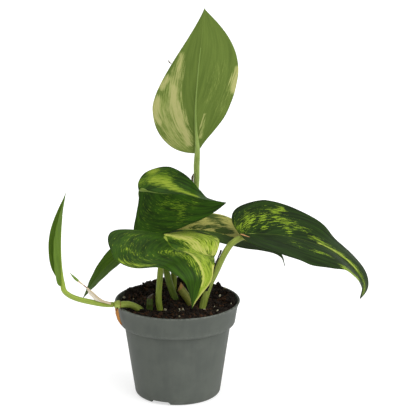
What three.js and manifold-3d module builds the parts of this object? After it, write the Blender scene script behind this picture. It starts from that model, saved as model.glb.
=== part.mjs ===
// A golden pothos grown from cuttings in a tapered 9 cm nursery pot.
// Millimetres, +Z up. The origin is the middle of the pot's foot and +Y points away from the front.
import * as THREE from "three";
import { mergeVertices } from "three/addons/utils/BufferGeometryUtils.js";
import Module from "manifold-3d";

const wasm = await Module();
wasm.setup();

const RAD = Math.PI / 180;
const GAP = 0.3; // clearance between pieces that touch

// Pot: a thin tapered shell with a deep rim band and a slightly flared lip. It stands on a ring and on the
// middle of its floor, with a raised channel between them.
const POT = {
  topRadius: 45,
  height: 70,
  footRadius: 30.6,
  footRounding: 3,
  wall: 1.2,
  bodyTopRadius: 38.1,
  bandHeight: 15,
  bandTopRadius: 43.3,
  bandBottomRadius: 41.7,
  bandUndercut: 4.5,
  bandEdge: { inset: 0.7, drop: 1.3 },
  lipHeight: 5,
  lipRounding: 0.5,
  sides: 56,
};
const BAND_BOTTOM = POT.height - POT.bandHeight;
const BODY_TOP = BAND_BOTTOM - POT.bandUndercut;
const LIP_BOTTOM = POT.height - POT.lipHeight;

// The channel under the floor, the notches that let water out of it through the foot, and the drain holes
// that open into it. Angles are in degrees from +X.
const CHANNEL = { inner: 17, outer: 27, height: 3, slope: 1 };
const NOTCH = { width: 15, height: 2.6, corner: 1, from: 24, depth: 9, firstAngle: -114, count: 2 };
const DRAIN = { radius: 3.2, ringRadius: 22, firstAngle: -54, count: 3, sides: 20 };

// Peat: its top lies a little under the lip in front, heaped behind the stems, sunk at the left rear wall
// and knobbly with clods that spread by the golden angle, unlike in height and width.
const PEAT = { level: 66.5, edgeDepth: 2, rings: 8, sectors: 40 };
const HEAP = { at: [6, 24], height: 3.2, spread: 22 };
const SINK = { at: [-30, 24], height: -1.6, spread: 16 };
const CLODS = { count: 46, turn: 137.508, height: 0.66, heightRange: 0.44, spread: 3, spreadRange: 2.2 };

// Leaf blades: thickness in mm, mesh divisions, how the divisions crowd towards the base, how far the side
// veins lean towards the tip, the breadth over which a half curls by its full angle, and how far each way
// along the midrib its bends are spread over the blade.
const BLADE = { thickness: 0.8, along: 20, across: 3, fan: 1.7, sweep: 0.45, curlBreadth: 0.35, ease: 0.1 };

// Petioles run on under the blade as a raised midrib: the places along the midrib that it follows, its
// radius at the first as a share of the petiole's, its radius at the end and how far it sinks into the blade.
const RIB = { shares: [0.04, 0.16, 0.3, 0.45, 0.6, 0.74], start: 0.85, endRadius: 0.45, sink: 0.1 };
const TUBE = { sides: 8, petioleRings: 28, runnerRings: 16, stemRings: 8, strandRings: 14, stripRings: 8 };
const BURIED = { petiole: 0.24, runner: 0.6 }; // the share of a stem's length that its hole in the peat takes

// One half of a blade's outline, in blade lengths: its greatest width and where it lies, how far the basal
// lobe reaches back, how round the lobe opens, how long the side stays wide, and how slim the tip ends.
// Its fold at the midrib and curl to the margin are in degrees, from the base to the tip.
const half = (width, at, lobe, open, run, tipAt, tipWidth, fold, curl) => ({
  width, at, lobe, open, run, tipAt, tipWidth, fold, curl,
});
const LOBE_REACH = 1.15; // the curve's handle for a lobe, in lobe lengths

// Each leaf: the midrib's points from base to tip, the way its upper face looks at the base, the turn of
// the blade about its midrib, its right and left halves seen from the base, the petiole's points from below
// the peat to the blade, and the petiole's radius at both ends.
const LEAVES = [
  {
    name: "leaf_crown",
    colour: 0x8fae5c,
    midrib: [[14.5, 29, 171], [13, 21.5, 200.5], [14.5, 15, 227], [17, 10, 252.5], [19.5, 6, 279.5]],
    up: [-0.03, 0.95, 0.2],
    turn: [2, 0],
    right: half(0.275, 0.31, 0.005, 0.16, 0.135, 0.87, 0.03, [10, 8.5], [6, 6]),
    left: half(0.27, 0.53, -0.14, 0.32, 0.27, 0.95, 0.035, [12, 8.5], [7, 6]),
    petiole: [[-5.5, 24, 54], [-4, 28, 67], [-3, 35, 77.5], [0.5, 41, 91], [6, 44, 107.5], [11, 43, 129],
      [13.5, 38, 146], [13.8, 33, 161]],
    petioleRadius: [2.7, 2.1],
  },
  {
    name: "leaf_upper",
    colour: 0x2f6b1f,
    midrib: [[-29, 40.5, 142], [-12, 21, 143.5], [3.5, 10, 145], [18, 3, 143.5], [35, -2.5, 142.5]],
    up: [0.08, -0.42, 0.91],
    turn: [7.5, -2, -8.5],
    right: half(0.41, 0.22, -0.09, 0.16, 0.41, 0.97, 0.05, [-42, -52, -51], [6, -2]),
    left: half(0.335, 0.305, 0.13, 0.335, 0.275, 0.74, 0.01, [16, -9, -18], [-7, -13]),
    petiole: [[3, -1, 54], [-0.5, 4, 66], [-5, 9, 76.5], [-9, 15, 89], [-16, 27, 105], [-22, 39, 122],
      [-26.5, 43, 134.5]],
    petioleRadius: [2.5, 2.1],
  },
  {
    name: "leaf_front",
    colour: 0x3c7a26,
    midrib: [[-9.5, -1.5, 118.9], [-2.5, -23, 115], [11.5, -45, 115], [18, -58, 105], [11, -63.5, 84]],
    up: [0.27, -0.29, 0.9],
    turn: [1.5, -5, -11],
    right: half(0.47, 0.24, 0.225, 0.69, 0.24, 0.9, 0.03, [-10, -16, -8], [-2, -14]),
    left: half(0.42, 0.13, 0.055, 0.29, 0.12, 0.8, 0.02, [7.5, -4.5, -4], [-2, -10]),
    petiole: [[-11.5, -16, 54], [-12, -15.5, 65.5], [-13, -14.5, 74], [-12, -11, 91.5], [-10.5, -8, 103.5],
      [-9, -4.5, 112.5]],
    petioleRadius: [2.3, 2.1],
  },
  {
    name: "leaf_back",
    colour: 0xb9c07a,
    midrib: [[0.5, 22, 115.5], [13, 22, 115.5], [26, 21.5, 114], [40, 21.5, 110], [56, 21.5, 105],
      [69, 21, 100], [75.5, 21, 95], [78, 21, 88.5]],
    up: [0, -0.03, 0.99],
    turn: [-1, -7],
    right: half(0.185, 0.38, 0.17, 0.06, 0.3, 0.85, 0.02, [-9, -3], [-8, -7]),
    left: half(0.24, 0.36, 0.17, 0.06, 0.3, 0.86, 0.02, [28, 26], [-9, -7.5]),
    petiole: [[-3.5, 17, 54], [-3.5, 20, 67.5], [-3, 22.5, 73.5], [-2.5, 25, 86], [1, 26, 95.5],
      [5, 25, 106]],
    petioleRadius: [2.2, 1.8],
  },
  {
    name: "leaf_right",
    colour: 0x2c6420,
    midrib: [[44.5, -4, 120], [58.5, -4.5, 120], [76.5, -4.5, 118.5], [95, -5.5, 114], [113, -5, 105],
      [125.5, -6, 94], [132, -7.5, 83], [130.5, -8.5, 73]],
    up: [0, -0.05, 0.96],
    turn: [0, -0.5, -7.5, 9],
    right: half(0.335, 0.385, -0.02, 0.2, 0.25, 0.82, 0.015, [7.5, -4, 1], [-16, -18]),
    left: half(0.35, 0.27, 0.085, 0.4, 0.42, 0.98, 0.06, [25, 9, 14], [-7, -14.5]),
    petiole: [[16.5, -12.5, 54], [18, -9.5, 67], [20, -9, 75], [23, -8.2, 84], [26.5, -7.7, 91],
      [30, -7.1, 98.5], [34, -6.3, 106.5], [39, -5.5, 113.5]],
    petioleRadius: [3, 2.1],
  },
  {
    name: "leaf_low",
    colour: 0x4f8a2f,
    midrib: [[-23, 18.5, 111.5], [-37, 20.5, 101.5], [-50.5, 23, 89], [-62, 26.5, 74.5], [-70.5, 31.5, 60]],
    up: [-0.53, -0.53, 0.62],
    turn: [6, 4],
    right: half(0.155, 0.33, 0.12, 0.25, 0.28, 0.88, 0.025, [5, 5.5], [6.5, 6.5]),
    left: half(0.165, 0.35, 0.12, 0.25, 0.32, 0.89, 0.025, [11, 10], [9, 9]),
    petiole: [[1, 8, 54], [-1.5, 12.5, 66.5], [-4.5, 17, 74], [-9.5, 23.5, 87], [-16, 27, 96],
      [-21.5, 23.5, 104]],
    petioleRadius: [2.1, 1.7],
  },
  {
    name: "leaf_young",
    colour: 0x86b04a,
    midrib: [[-81.5, -22, 87], [-82, -19, 104], [-81.5, -18, 123], [-79.5, -20, 140.5], [-77, -22, 154.5]],
    up: [-0.75, -0.65, 0.05],
    turn: [0],
    right: half(0.14, 0.38, 0, 0.25, 0.3, 0.86, 0.02, [62], [12]),
    left: half(0.12, 0.42, -0.1, 0.25, 0.22, 0.86, 0.025, [52], [30]),
    petiole: [[-45, -22, 73.2], [-50.9, -22, 73.4], [-61.3, -22.5, 75.5], [-70, -22.7, 77.8],
      [-76, -22.5, 80.5], [-79.5, -22.2, 84]],
    petioleRadius: [2, 1.7],
  },
];

// Stems and sheaths: a path from its lower end, and the radius at even steps along it.
const RUNNER = {
  name: "runner_stem",
  colour: 0x9ab84f,
  path: [[-22, -8, 60], [-27, -14, 67.2], [-33, -17.2, 71.4], [-39.5, -20.7, 73], [-43.8, -22, 73.2]],
  radius: [2.4, 2.4],
};
const NODE_SWELLING = { at: [-41.5, -21.4, 73.2], radius: 2.9, length: 3, sides: 12 };
const CUT_STEM = {
  name: "cut_stem",
  colour: 0x7d9a3c,
  path: [[13, -2, 56], [10.3, -3.4, 67], [1.5, -2, 80]],
  radius: [3, 2.9],
};
const STEM_STUB = {
  name: "stem_stub",
  colour: 0x3d5a22,
  path: [[-19.6, -16.5, 57], [-19.6, -15.5, 67], [-19, -15.2, 77.5]],
  radius: [2.4, 2.2],
};
const NEW_SHOOT = {
  name: "new_shoot",
  colour: 0xd9c9b8,
  path: [[-46.5, -24.8, 75], [-52, -24.3, 76.5], [-56, -24, 79.5], [-60.5, -24, 84], [-67, -24, 89.5],
    [-71.5, -24, 93.5], [-75, -24, 97.5]],
  radius: [0.9, 1.2, 1.1, 0.7, 0.55, 1, 0.3],
};
const BLACK_SHEATH = {
  name: "black_sheath",
  colour: 0x1c1712,
  path: [[20.8, -12, 80.5], [22.7, -11.8, 86], [24.4, -11.3, 92], [26.3, -10.9, 97.5], [28.2, -10.4, 102],
    [31.4, -9.7, 109.5]],
  radius: [0.8, 0.6],
};
const BROWN_SHEATH = {
  name: "brown_sheath",
  colour: 0xa9702f,
  path: [[-42.6, -18.6, 69.9], [-42.1, -19.4, 66], [-40.9, -20.2, 61.5], [-38.9, -21, 57.6]],
  width: [3.4, 3.6, 3, 1.2],
  thickness: 0.7,
};

const clamp = (x, low, high) => Math.min(high, Math.max(low, x));
const vec = (p) => new THREE.Vector3(...p);

// A smooth value through evenly spaced ones, for x from 0 to 1.
function smoothValue(values, x) {
  const last = values.length - 1;
  if (last === 0) return values[0];
  const padded = [2 * values[0] - values[1], ...values, 2 * values[last] - values[last - 1]];
  const u = clamp(x, 0, 1) * last;
  const i = Math.min(Math.floor(u), last - 1);
  const w = u - i;
  const [a, b, c, d] = padded.slice(i, i + 4);
  return b + 0.5 * w * (c - a + w * (2 * a - 5 * b + 4 * c - d + w * (3 * (b - c) + d - a)));
}

// Geometry from shared corners and their triangles.
function indexed(corners, triangles) {
  const geometry = new THREE.BufferGeometry();
  geometry.setAttribute("position", new THREE.Float32BufferAttribute(corners.flat(), 3));
  geometry.setIndex(triangles.flat());
  return geometry;
}

function toSolid(geometry) {
  const bare = geometry.clone();
  bare.deleteAttribute("normal");
  bare.deleteAttribute("uv");
  const merged = mergeVertices(bare, 1e-4);
  return new wasm.Manifold(
    new wasm.Mesh({
      numProp: 3,
      vertProperties: merged.attributes.position.array,
      triVerts: new Uint32Array(merged.index.array),
    }),
  );
}

function fromSolid(solid) {
  const mesh = solid.getMesh();
  const geometry = new THREE.BufferGeometry();
  geometry.setAttribute("position", new THREE.BufferAttribute(mesh.vertProperties, 3));
  geometry.setIndex(new THREE.BufferAttribute(mesh.triVerts, 1));
  return geometry;
}

function named(name, geometry, colour, roughness = 0.55) {
  geometry.computeVertexNormals();
  const material = new THREE.MeshStandardMaterial({ color: colour, roughness, metalness: 0 });
  const mesh = new THREE.Mesh(geometry, material);
  mesh.name = name;
  return mesh;
}

// A closed tube with rings at the given stations, each { point, normal, side, rx, ry }.
function loft(stations) {
  const { sides } = TUBE;
  const corners = [];
  const triangles = [];
  for (const { point, normal, side, rx, ry } of stations)
    for (let k = 0; k < sides; k++) {
      const turn = (2 * Math.PI * k) / sides;
      const across = side.clone().multiplyScalar(rx * Math.cos(turn));
      const corner = point.clone().add(across).addScaledVector(normal, ry * Math.sin(turn));
      corners.push(corner.toArray());
    }
  for (let i = 0; i + 1 < stations.length; i++)
    for (let k = 0; k < sides; k++) {
      const a = i * sides + k;
      const b = i * sides + ((k + 1) % sides);
      triangles.push([a, b, b + sides], [a, b + sides, a + sides]);
    }
  const start = corners.push(stations[0].point.toArray()) - 1;
  const end = corners.push(stations.at(-1).point.toArray()) - 1;
  const top = (stations.length - 1) * sides;
  for (let k = 0; k < sides; k++) {
    const next = (k + 1) % sides;
    triangles.push([start, next, k], [end, top + k, top + next]);
  }
  return indexed(corners, triangles);
}

// Stations along a smooth path, up to a share of its length: radiusAt gives the radius at each share.
function pathStations(path, rings, radiusAt, to = 1) {
  const curve = new THREE.CatmullRomCurve3(path);
  const frames = curve.computeFrenetFrames(rings);
  const stations = [];
  for (let i = 0; i <= rings; i++) {
    const u = i / rings;
    if (u > to) break;
    const radius = radiusAt(u);
    stations.push({
      point: curve.getPointAt(u),
      normal: frames.normals[i],
      side: frames.binormals[i].clone().negate(),
      rx: radius,
      ry: radius,
    });
  }
  return stations;
}

// A tube along a path with its radius smooth between the given ones, grown by an even clearance.
function taperedTube({ path, radius }, rings, grow = 0, to = 1) {
  const points = path.map(vec);
  if (grow) points[0].add(points[0].clone().sub(points[1]).setLength(grow));
  const radiusAt = (u) => smoothValue(radius, u) + grow;
  return loft(pathStations(points, rings, radiusAt, to));
}

// One half's outline as points from the base round the side to the tip, in blade lengths.
function halfOutline(shape, count) {
  const { width, at, lobe, open, run, tipAt, tipWidth } = shape;
  const point = (x, y) => new THREE.Vector2(x, y);
  const back = -LOBE_REACH * lobe;
  const widest = point(at, width);
  const tip = point(1, 0);
  const outline = new THREE.CurvePath();
  outline.add(new THREE.CubicBezierCurve(point(0, 0), point(back, width * open), point(back, width), widest));
  outline.add(new THREE.CubicBezierCurve(widest, point(at + run, width), point(tipAt, tipWidth), tip));
  return outline.getSpacedPoints(count);
}

// The midrib as a space curve that carries a frame: along it, out of the upper face and to the right.
function midribOf(leaf) {
  const samples = 96;
  const curve = new THREE.CatmullRomCurve3(leaf.midrib.map(vec));
  const length = curve.getLength();
  const normal = vec(leaf.up);
  const frames = [];
  for (let i = 0; i <= samples; i++) {
    const tangent = curve.getTangentAt(i / samples);
    normal.addScaledVector(tangent, -normal.dot(tangent)).normalize();
    const turned = normal.clone().applyAxisAngle(tangent, smoothValue(leaf.turn, i / samples) * RAD);
    frames.push({ point: curve.getPointAt(i / samples), tangent, normal: turned });
  }
  const reach = Math.round(BLADE.ease * samples);
  const averaged = (key, i) => {
    const sum = new THREE.Vector3();
    for (let k = -reach; k <= reach; k++) {
      sum.addScaledVector(frames[clamp(i + k, 0, samples)][key], reach + 1 - Math.abs(k));
    }
    return sum.normalize();
  };
  const eased = frames.map(({ point }, i) => {
    const tangent = averaged("tangent", i);
    const up = averaged("normal", i);
    return { point, tangent, normal: up.addScaledVector(tangent, -up.dot(tangent)).normalize() };
  });
  const mix = (key, i, w) => eased[i][key].clone().lerp(eased[i + 1][key], w);
  const at = (share) => {
    const u = clamp(share, 0, 1) * samples;
    const i = Math.min(Math.floor(u), samples - 1);
    const tangent = mix("tangent", i, u - i).normalize();
    const up = mix("normal", i, u - i).normalize();
    return { point: mix("point", i, u - i), tangent, normal: up, side: tangent.clone().cross(up) };
  };
  return { length, at };
}

// A point of the blade's middle surface: x mm along the midrib and y mm to the right of it, when flat.
function bladePoint(leaf, midrib, x, y) {
  const out = Math.abs(y);
  const shape = y >= 0 ? leaf.right : leaf.left;
  const foot = x - BLADE.sweep * out;
  const share = clamp(foot / midrib.length, 0, 1);
  const { point, tangent, normal, side } = midrib.at(share);
  const fold = smoothValue(shape.fold, share) * RAD;
  const curl = (smoothValue(shape.curl, share) * RAD) / (BLADE.curlBreadth * midrib.length) || 1e-6;
  const across = (Math.sin(fold + curl * out) - Math.sin(fold)) / curl;
  const rise = (Math.cos(fold) - Math.cos(fold + curl * out)) / curl;
  return point
    .addScaledVector(tangent, Math.min(foot, 0) + BLADE.sweep * out)
    .addScaledVector(side, Math.sign(y) * across)
    .addScaledVector(normal, rise);
}

// The way out of the upper face at a point of the blade.
function bladeNormal(leaf, midrib, x, y) {
  const step = 0.05;
  const at = (dx, dy) => bladePoint(leaf, midrib, x + dx, y + dy);
  return at(0, step).sub(at(0, -step)).cross(at(step, 0).sub(at(-step, 0))).normalize();
}

// The blade as a thin closed sheet, split alike on both faces along its side veins.
function bladeGeometry(leaf, midrib) {
  const { along, across, fan, thickness } = BLADE;
  const corners = [];
  const triangles = [];
  const pair = (x, y) => {
    const middle = bladePoint(leaf, midrib, x, y);
    const normal = bladeNormal(leaf, midrib, x, y).multiplyScalar(thickness / 2);
    corners.push(middle.clone().add(normal).toArray(), middle.clone().sub(normal).toArray());
    return corners.length - 2;
  };
  const spine = Array.from({ length: along + 1 }, (_, i) => pair((i / along) ** fan * midrib.length, 0));
  const both = (a, b, c) => triangles.push([a, b, c], [a + 1, c + 1, b + 1]);
  for (const sign of [1, -1]) {
    const outline = halfOutline(sign > 0 ? leaf.right : leaf.left, along);
    const rows = spine.map((start, i) => {
      if (i === 0 || i === along) return Array(across + 1).fill(start);
      const foot = (i / along) ** fan * midrib.length;
      return Array.from({ length: across + 1 }, (_, j) => {
        if (j === 0) return start;
        const share = j / across;
        const x = THREE.MathUtils.lerp(foot, outline[i].x * midrib.length, share);
        return pair(x, sign * outline[i].y * midrib.length * share);
      });
    });
    const face = sign > 0 ? (a, b, c) => both(a, c, b) : both;
    for (let i = 0; i < along; i++) {
      for (let j = 0; j < across; j++) {
        const [a, b, c, d] = [rows[i][j], rows[i + 1][j], rows[i + 1][j + 1], rows[i][j + 1]];
        if (b !== c) face(a, b, c);
        if (a !== d) face(a, c, d);
      }
      const edge = [rows[i][across], rows[i + 1][across]];
      const [m, n] = sign > 0 ? edge : edge.reverse();
      triangles.push([m, m + 1, n + 1], [m, n + 1, n]);
    }
  }
  return indexed(corners, triangles);
}

// The petiole runs on under the blade as a raised midrib that thins out towards the tip.
function petioleStations(leaf, midrib) {
  const [baseRadius, topRadius] = leaf.petioleRadius;
  const ribEnd = RIB.shares.at(-1);
  const ribRadius = (share) => THREE.MathUtils.lerp(topRadius * RIB.start, RIB.endRadius, share / ribEnd);
  const ribPoints = RIB.shares.map((share) => {
    const { point, normal } = midrib.at(share);
    return point.addScaledVector(normal, RIB.sink - ribRadius(share));
  });
  const path = [...leaf.petiole.map(vec), ...ribPoints];
  const samples = 100 * (path.length - 1);
  const lengths = new THREE.CatmullRomCurve3(path).getLengths(samples);
  const bladeStart = lengths[100 * leaf.petiole.length] / lengths[samples];
  const radiusAt = (u) => {
    if (u < bladeStart) return THREE.MathUtils.lerp(baseRadius, topRadius, u / bladeStart);
    return THREE.MathUtils.lerp(topRadius, RIB.endRadius, (u - bladeStart) / (1 - bladeStart));
  };
  return { path, radiusAt };
}

function leafMesh(leaf) {
  const midrib = midribOf(leaf);
  const { path, radiusAt } = petioleStations(leaf, midrib);
  const blade = toSolid(bladeGeometry(leaf, midrib));
  const petiole = toSolid(loft(pathStations(path, TUBE.petioleRings, radiusAt)));
  return named(leaf.name, fromSolid(blade.add(petiole)), leaf.colour);
}

// The pot's outer radius at a height.
function potOuterRadius(z) {
  if (z >= LIP_BOTTOM) {
    return THREE.MathUtils.mapLinear(z, LIP_BOTTOM, POT.height, POT.bandTopRadius, POT.topRadius);
  }
  if (z >= BAND_BOTTOM) {
    return THREE.MathUtils.mapLinear(z, BAND_BOTTOM, LIP_BOTTOM, POT.bandBottomRadius, POT.bandTopRadius);
  }
  return THREE.MathUtils.mapLinear(z, 0, BODY_TOP, POT.footRadius, POT.bodyTopRadius);
}

// The pot's inner radius: one wall inside the outer, and straight behind the band's undercut.
function potInnerRadius(z) {
  if (z <= BODY_TOP || z >= BAND_BOTTOM) return potOuterRadius(z) - POT.wall;
  const [low, high] = [potOuterRadius(BODY_TOP), potOuterRadius(BAND_BOTTOM)];
  return THREE.MathUtils.mapLinear(z, BODY_TOP, BAND_BOTTOM, low, high) - POT.wall;
}

// A notch's opening through the foot: a low slot with bevelled upper corners, cut outwards along +X.
function notchCutter() {
  const { width, height, corner, from, depth } = NOTCH;
  const side = width / 2;
  const slot = new THREE.Shape([
    new THREE.Vector2(-side, -height),
    new THREE.Vector2(side, -height),
    new THREE.Vector2(side, height - corner),
    new THREE.Vector2(side - corner, height),
    new THREE.Vector2(corner - side, height),
    new THREE.Vector2(-side, height - corner),
  ]);
  const cutter = new THREE.ExtrudeGeometry(slot, { depth, bevelEnabled: false });
  return cutter.rotateX(Math.PI / 2).rotateZ(Math.PI / 2).translate(from, 0, 0);
}

// The solid less evenly spaced copies of a cutter that stands at angle 0.
function cutAround(solid, cutter, { firstAngle, count }) {
  let rest = solid;
  for (let k = 0; k < count; k++) {
    const turn = (firstAngle + (360 * k) / count) * RAD;
    rest = rest.subtract(toSolid(cutter.clone().rotateZ(turn)));
  }
  return rest;
}

function potMesh() {
  const { inner, outer, height, slope } = CHANNEL;
  const point = (r, z) => new THREE.Vector2(r, z);
  const floorTop = height + POT.wall;
  const underside = [
    point(0, 0),
    point(inner, 0),
    point(inner + slope, height),
    point(outer - slope, height),
    point(outer, 0),
  ];
  const roundingCentre = potOuterRadius(POT.footRounding) - POT.footRounding;
  const foot = [0, 20, 45, 70].map((turn) => {
    const [across, down] = [Math.sin(turn * RAD), Math.cos(turn * RAD)];
    return point(roundingCentre + POT.footRounding * across, POT.footRounding * (1 - down));
  });
  const outside = [
    point(potOuterRadius(POT.footRounding), POT.footRounding),
    point(POT.bodyTopRadius, BODY_TOP),
    point(POT.bandBottomRadius - POT.bandEdge.inset, BAND_BOTTOM - POT.bandEdge.drop),
    point(POT.bandBottomRadius, BAND_BOTTOM),
    point(POT.bandTopRadius, LIP_BOTTOM),
    point(POT.topRadius, POT.height - POT.lipRounding),
    point(POT.topRadius - POT.lipRounding, POT.height),
  ];
  const inside = [
    point(POT.topRadius - POT.lipRounding - POT.wall, POT.height),
    ...[LIP_BOTTOM, BAND_BOTTOM, BODY_TOP, floorTop].map((z) => point(potInnerRadius(z), z)),
    point(inner, floorTop),
    point(inner - slope, POT.wall),
    point(0, POT.wall),
  ];
  const profile = [...underside, ...foot, ...outside, ...inside];
  const shell = toSolid(new THREE.LatheGeometry(profile, POT.sides).rotateX(Math.PI / 2));
  const drill = new THREE.CylinderGeometry(DRAIN.radius, DRAIN.radius, 4 * CHANNEL.height, DRAIN.sides)
    .rotateX(Math.PI / 2)
    .translate(DRAIN.ringRadius, 0, 0);
  const pot = cutAround(cutAround(shell, notchCutter(), NOTCH), drill, DRAIN);
  return named("pot", fromSolid(pot), 0x5f6761, 0.45);
}

// The heap, the sunken place and the clods, each a round lump.
const LUMPS = [HEAP, SINK];
for (let k = 0; k < CLODS.count; k++) {
  const reach = potInnerRadius(PEAT.level) * Math.sqrt((k + 0.5) / CLODS.count);
  const turn = k * CLODS.turn * RAD;
  LUMPS.push({
    at: [reach * Math.cos(turn), reach * Math.sin(turn)],
    height: CLODS.height + CLODS.heightRange * Math.sin(1.7 * k),
    spread: CLODS.spread + CLODS.spreadRange * Math.sin(2.4 * k),
  });
}

function peatHeight(x, y) {
  const rise = ({ at, height, spread }) => {
    const away = ((x - at[0]) ** 2 + (y - at[1]) ** 2) / spread ** 2;
    return height * Math.exp(-away);
  };
  return LUMPS.reduce((z, lump) => z + rise(lump), PEAT.level);
}

// The peat fills the pot, with a plain hole round each stem that stands in it.
function peatMesh(stems) {
  const corners = [];
  const triangles = [];
  const { rings, sectors } = PEAT;
  const ring = (radius, heightAt) => {
    const start = corners.length;
    for (let k = 0; k < sectors; k++) {
      const turn = (2 * Math.PI * k) / sectors;
      const [x, y] = [radius * Math.cos(turn), radius * Math.sin(turn)];
      corners.push([x, y, heightAt(x, y)]);
    }
    return start;
  };
  const { inner, height, slope } = CHANNEL;
  const [floorTop, middleTop] = [height + POT.wall + GAP, POT.wall + GAP];
  const levels = [ring(inner - slope - 2 * GAP, () => middleTop), ring(inner - 2 * GAP, () => floorTop)];
  for (const z of [floorTop, BODY_TOP, BAND_BOTTOM]) levels.push(ring(potInnerRadius(z) - 2 * GAP, () => z));
  const edgeRadius = potInnerRadius(PEAT.level - PEAT.edgeDepth) - GAP;
  for (let i = rings; i > 0; i--) levels.push(ring((edgeRadius * i) / rings, peatHeight));
  const bottomCentre = corners.push([0, 0, middleTop]) - 1;
  const topCentre = corners.push([0, 0, peatHeight(0, 0)]) - 1;
  for (let k = 0; k < sectors; k++) {
    const next = (k + 1) % sectors;
    for (let i = 0; i + 1 < levels.length; i++) {
      const [low, high] = [levels[i], levels[i + 1]];
      triangles.push([low + k, low + next, high + next], [low + k, high + next, high + k]);
    }
    triangles.push([bottomCentre, levels[0] + next, levels[0] + k]);
    triangles.push([topCentre, levels.at(-1) + k, levels.at(-1) + next]);
  }
  let peat = toSolid(indexed(corners, triangles));
  for (const stem of stems) peat = peat.subtract(toSolid(stem));
  return named("peat", fromSolid(peat), 0x2a1c14, 0.95);
}

// A flat strip along a path, wide across the pot's wall and thin through it.
function stripGeometry({ path, width, thickness }) {
  const curve = new THREE.CatmullRomCurve3(path.map(vec));
  const stations = [];
  for (let i = 0; i <= TUBE.stripRings; i++) {
    const share = i / TUBE.stripRings;
    const point = curve.getPointAt(share);
    const tangent = curve.getTangentAt(share);
    const outward = new THREE.Vector3(point.x, point.y, 0).normalize();
    const normal = outward.addScaledVector(tangent, -outward.dot(tangent)).normalize();
    const side = tangent.clone().cross(normal).negate();
    stations.push({ point, normal, side, rx: smoothValue(width, share) / 2, ry: thickness / 2 });
  }
  return loft(stations);
}

function runnerMesh() {
  const stem = toSolid(taperedTube(RUNNER, TUBE.runnerRings));
  const { at, radius, length, sides } = NODE_SWELLING;
  const knob = new THREE.SphereGeometry(radius, sides, sides / 2)
    .scale(length / radius, 1, 1)
    .translate(...at);
  return named(RUNNER.name, fromSolid(stem.add(toSolid(knob))), RUNNER.colour);
}

// The holes that the stems stand in: each stem's buried stretch, grown by the clearance.
function buriedStretches() {
  const holes = [
    taperedTube(RUNNER, TUBE.runnerRings, GAP, BURIED.runner),
    taperedTube(CUT_STEM, TUBE.stemRings, GAP),
    taperedTube(STEM_STUB, TUBE.stemRings, GAP),
  ];
  for (const leaf of LEAVES) {
    const startsInPeat = leaf.petiole[0][2] < PEAT.level;
    if (!startsInPeat) continue;
    const { path, radiusAt } = petioleStations(leaf, midribOf(leaf));
    path[0].add(path[0].clone().sub(path[1]).setLength(GAP));
    holes.push(loft(pathStations(path, TUBE.petioleRings, (u) => radiusAt(u) + GAP, BURIED.petiole)));
  }
  return holes;
}

const plant = new THREE.Group();
plant.add(potMesh(), peatMesh(buriedStretches()));
for (const leaf of LEAVES) plant.add(leafMesh(leaf));
plant.add(runnerMesh());
for (const stem of [CUT_STEM, STEM_STUB, NEW_SHOOT]) {
  plant.add(named(stem.name, taperedTube(stem, TUBE.stemRings), stem.colour));
}
plant.add(named(BLACK_SHEATH.name, taperedTube(BLACK_SHEATH, TUBE.strandRings), BLACK_SHEATH.colour, 0.8));
plant.add(named(BROWN_SHEATH.name, stripGeometry(BROWN_SHEATH), BROWN_SHEATH.colour, 0.8));

export default plant;
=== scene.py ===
"""Golden pothos in a tapered 9 cm nursery pot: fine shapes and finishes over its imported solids.

Sizes are in millimetres and become metres when a mesh is made. +Z is up and +Y points away from the front.
"""

from __future__ import annotations

import logging
import math
from dataclasses import dataclass, field
from enum import Enum

import bmesh
import bpy
import numpy as np
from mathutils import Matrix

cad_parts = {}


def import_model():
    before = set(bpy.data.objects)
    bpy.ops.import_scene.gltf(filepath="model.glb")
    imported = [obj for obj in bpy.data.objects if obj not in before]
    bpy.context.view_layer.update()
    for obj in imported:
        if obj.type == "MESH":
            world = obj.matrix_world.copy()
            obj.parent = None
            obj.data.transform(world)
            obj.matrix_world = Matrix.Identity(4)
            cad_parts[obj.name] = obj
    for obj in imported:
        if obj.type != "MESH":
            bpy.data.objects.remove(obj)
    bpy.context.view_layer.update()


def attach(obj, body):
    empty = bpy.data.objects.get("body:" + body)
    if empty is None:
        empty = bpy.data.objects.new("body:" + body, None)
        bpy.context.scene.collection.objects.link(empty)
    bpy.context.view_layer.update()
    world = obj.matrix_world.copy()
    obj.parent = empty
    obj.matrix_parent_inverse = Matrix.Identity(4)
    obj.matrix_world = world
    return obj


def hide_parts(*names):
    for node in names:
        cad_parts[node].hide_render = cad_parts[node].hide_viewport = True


MM = 0.001
UP = np.array([0.0, 0.0, 1.0])
FRONT = np.array([0.0, -1.0, 0.0])
BLACK = (0.0, 0.0, 0.0, 1.0)
Array = np.ndarray
Colour = tuple[float, float, float]
Points = tuple[tuple[float, float, float], ...]
log = logging.getLogger("potted_pothos")


# Curves and fields


def unit(vectors: Array) -> Array:
    """Vectors scaled to length one."""
    return vectors / np.maximum(np.linalg.norm(vectors, axis=-1, keepdims=True), 1e-12)


def smooth_step(low: float, high: float, x: Array) -> Array:
    """The soft step 3t² - 2t³, with t running from 0 at low to 1 at high."""
    t = np.clip((x - low) / (high - low), 0.0, 1.0)
    return t * t * (3.0 - 2.0 * t)


def bell(x: Array, middle: float, breadth: float) -> Array:
    """A round bump of height 1: e to the minus the square of the distance from its middle in breadths."""
    return np.exp(-(((x - middle) / breadth) ** 2))


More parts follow.
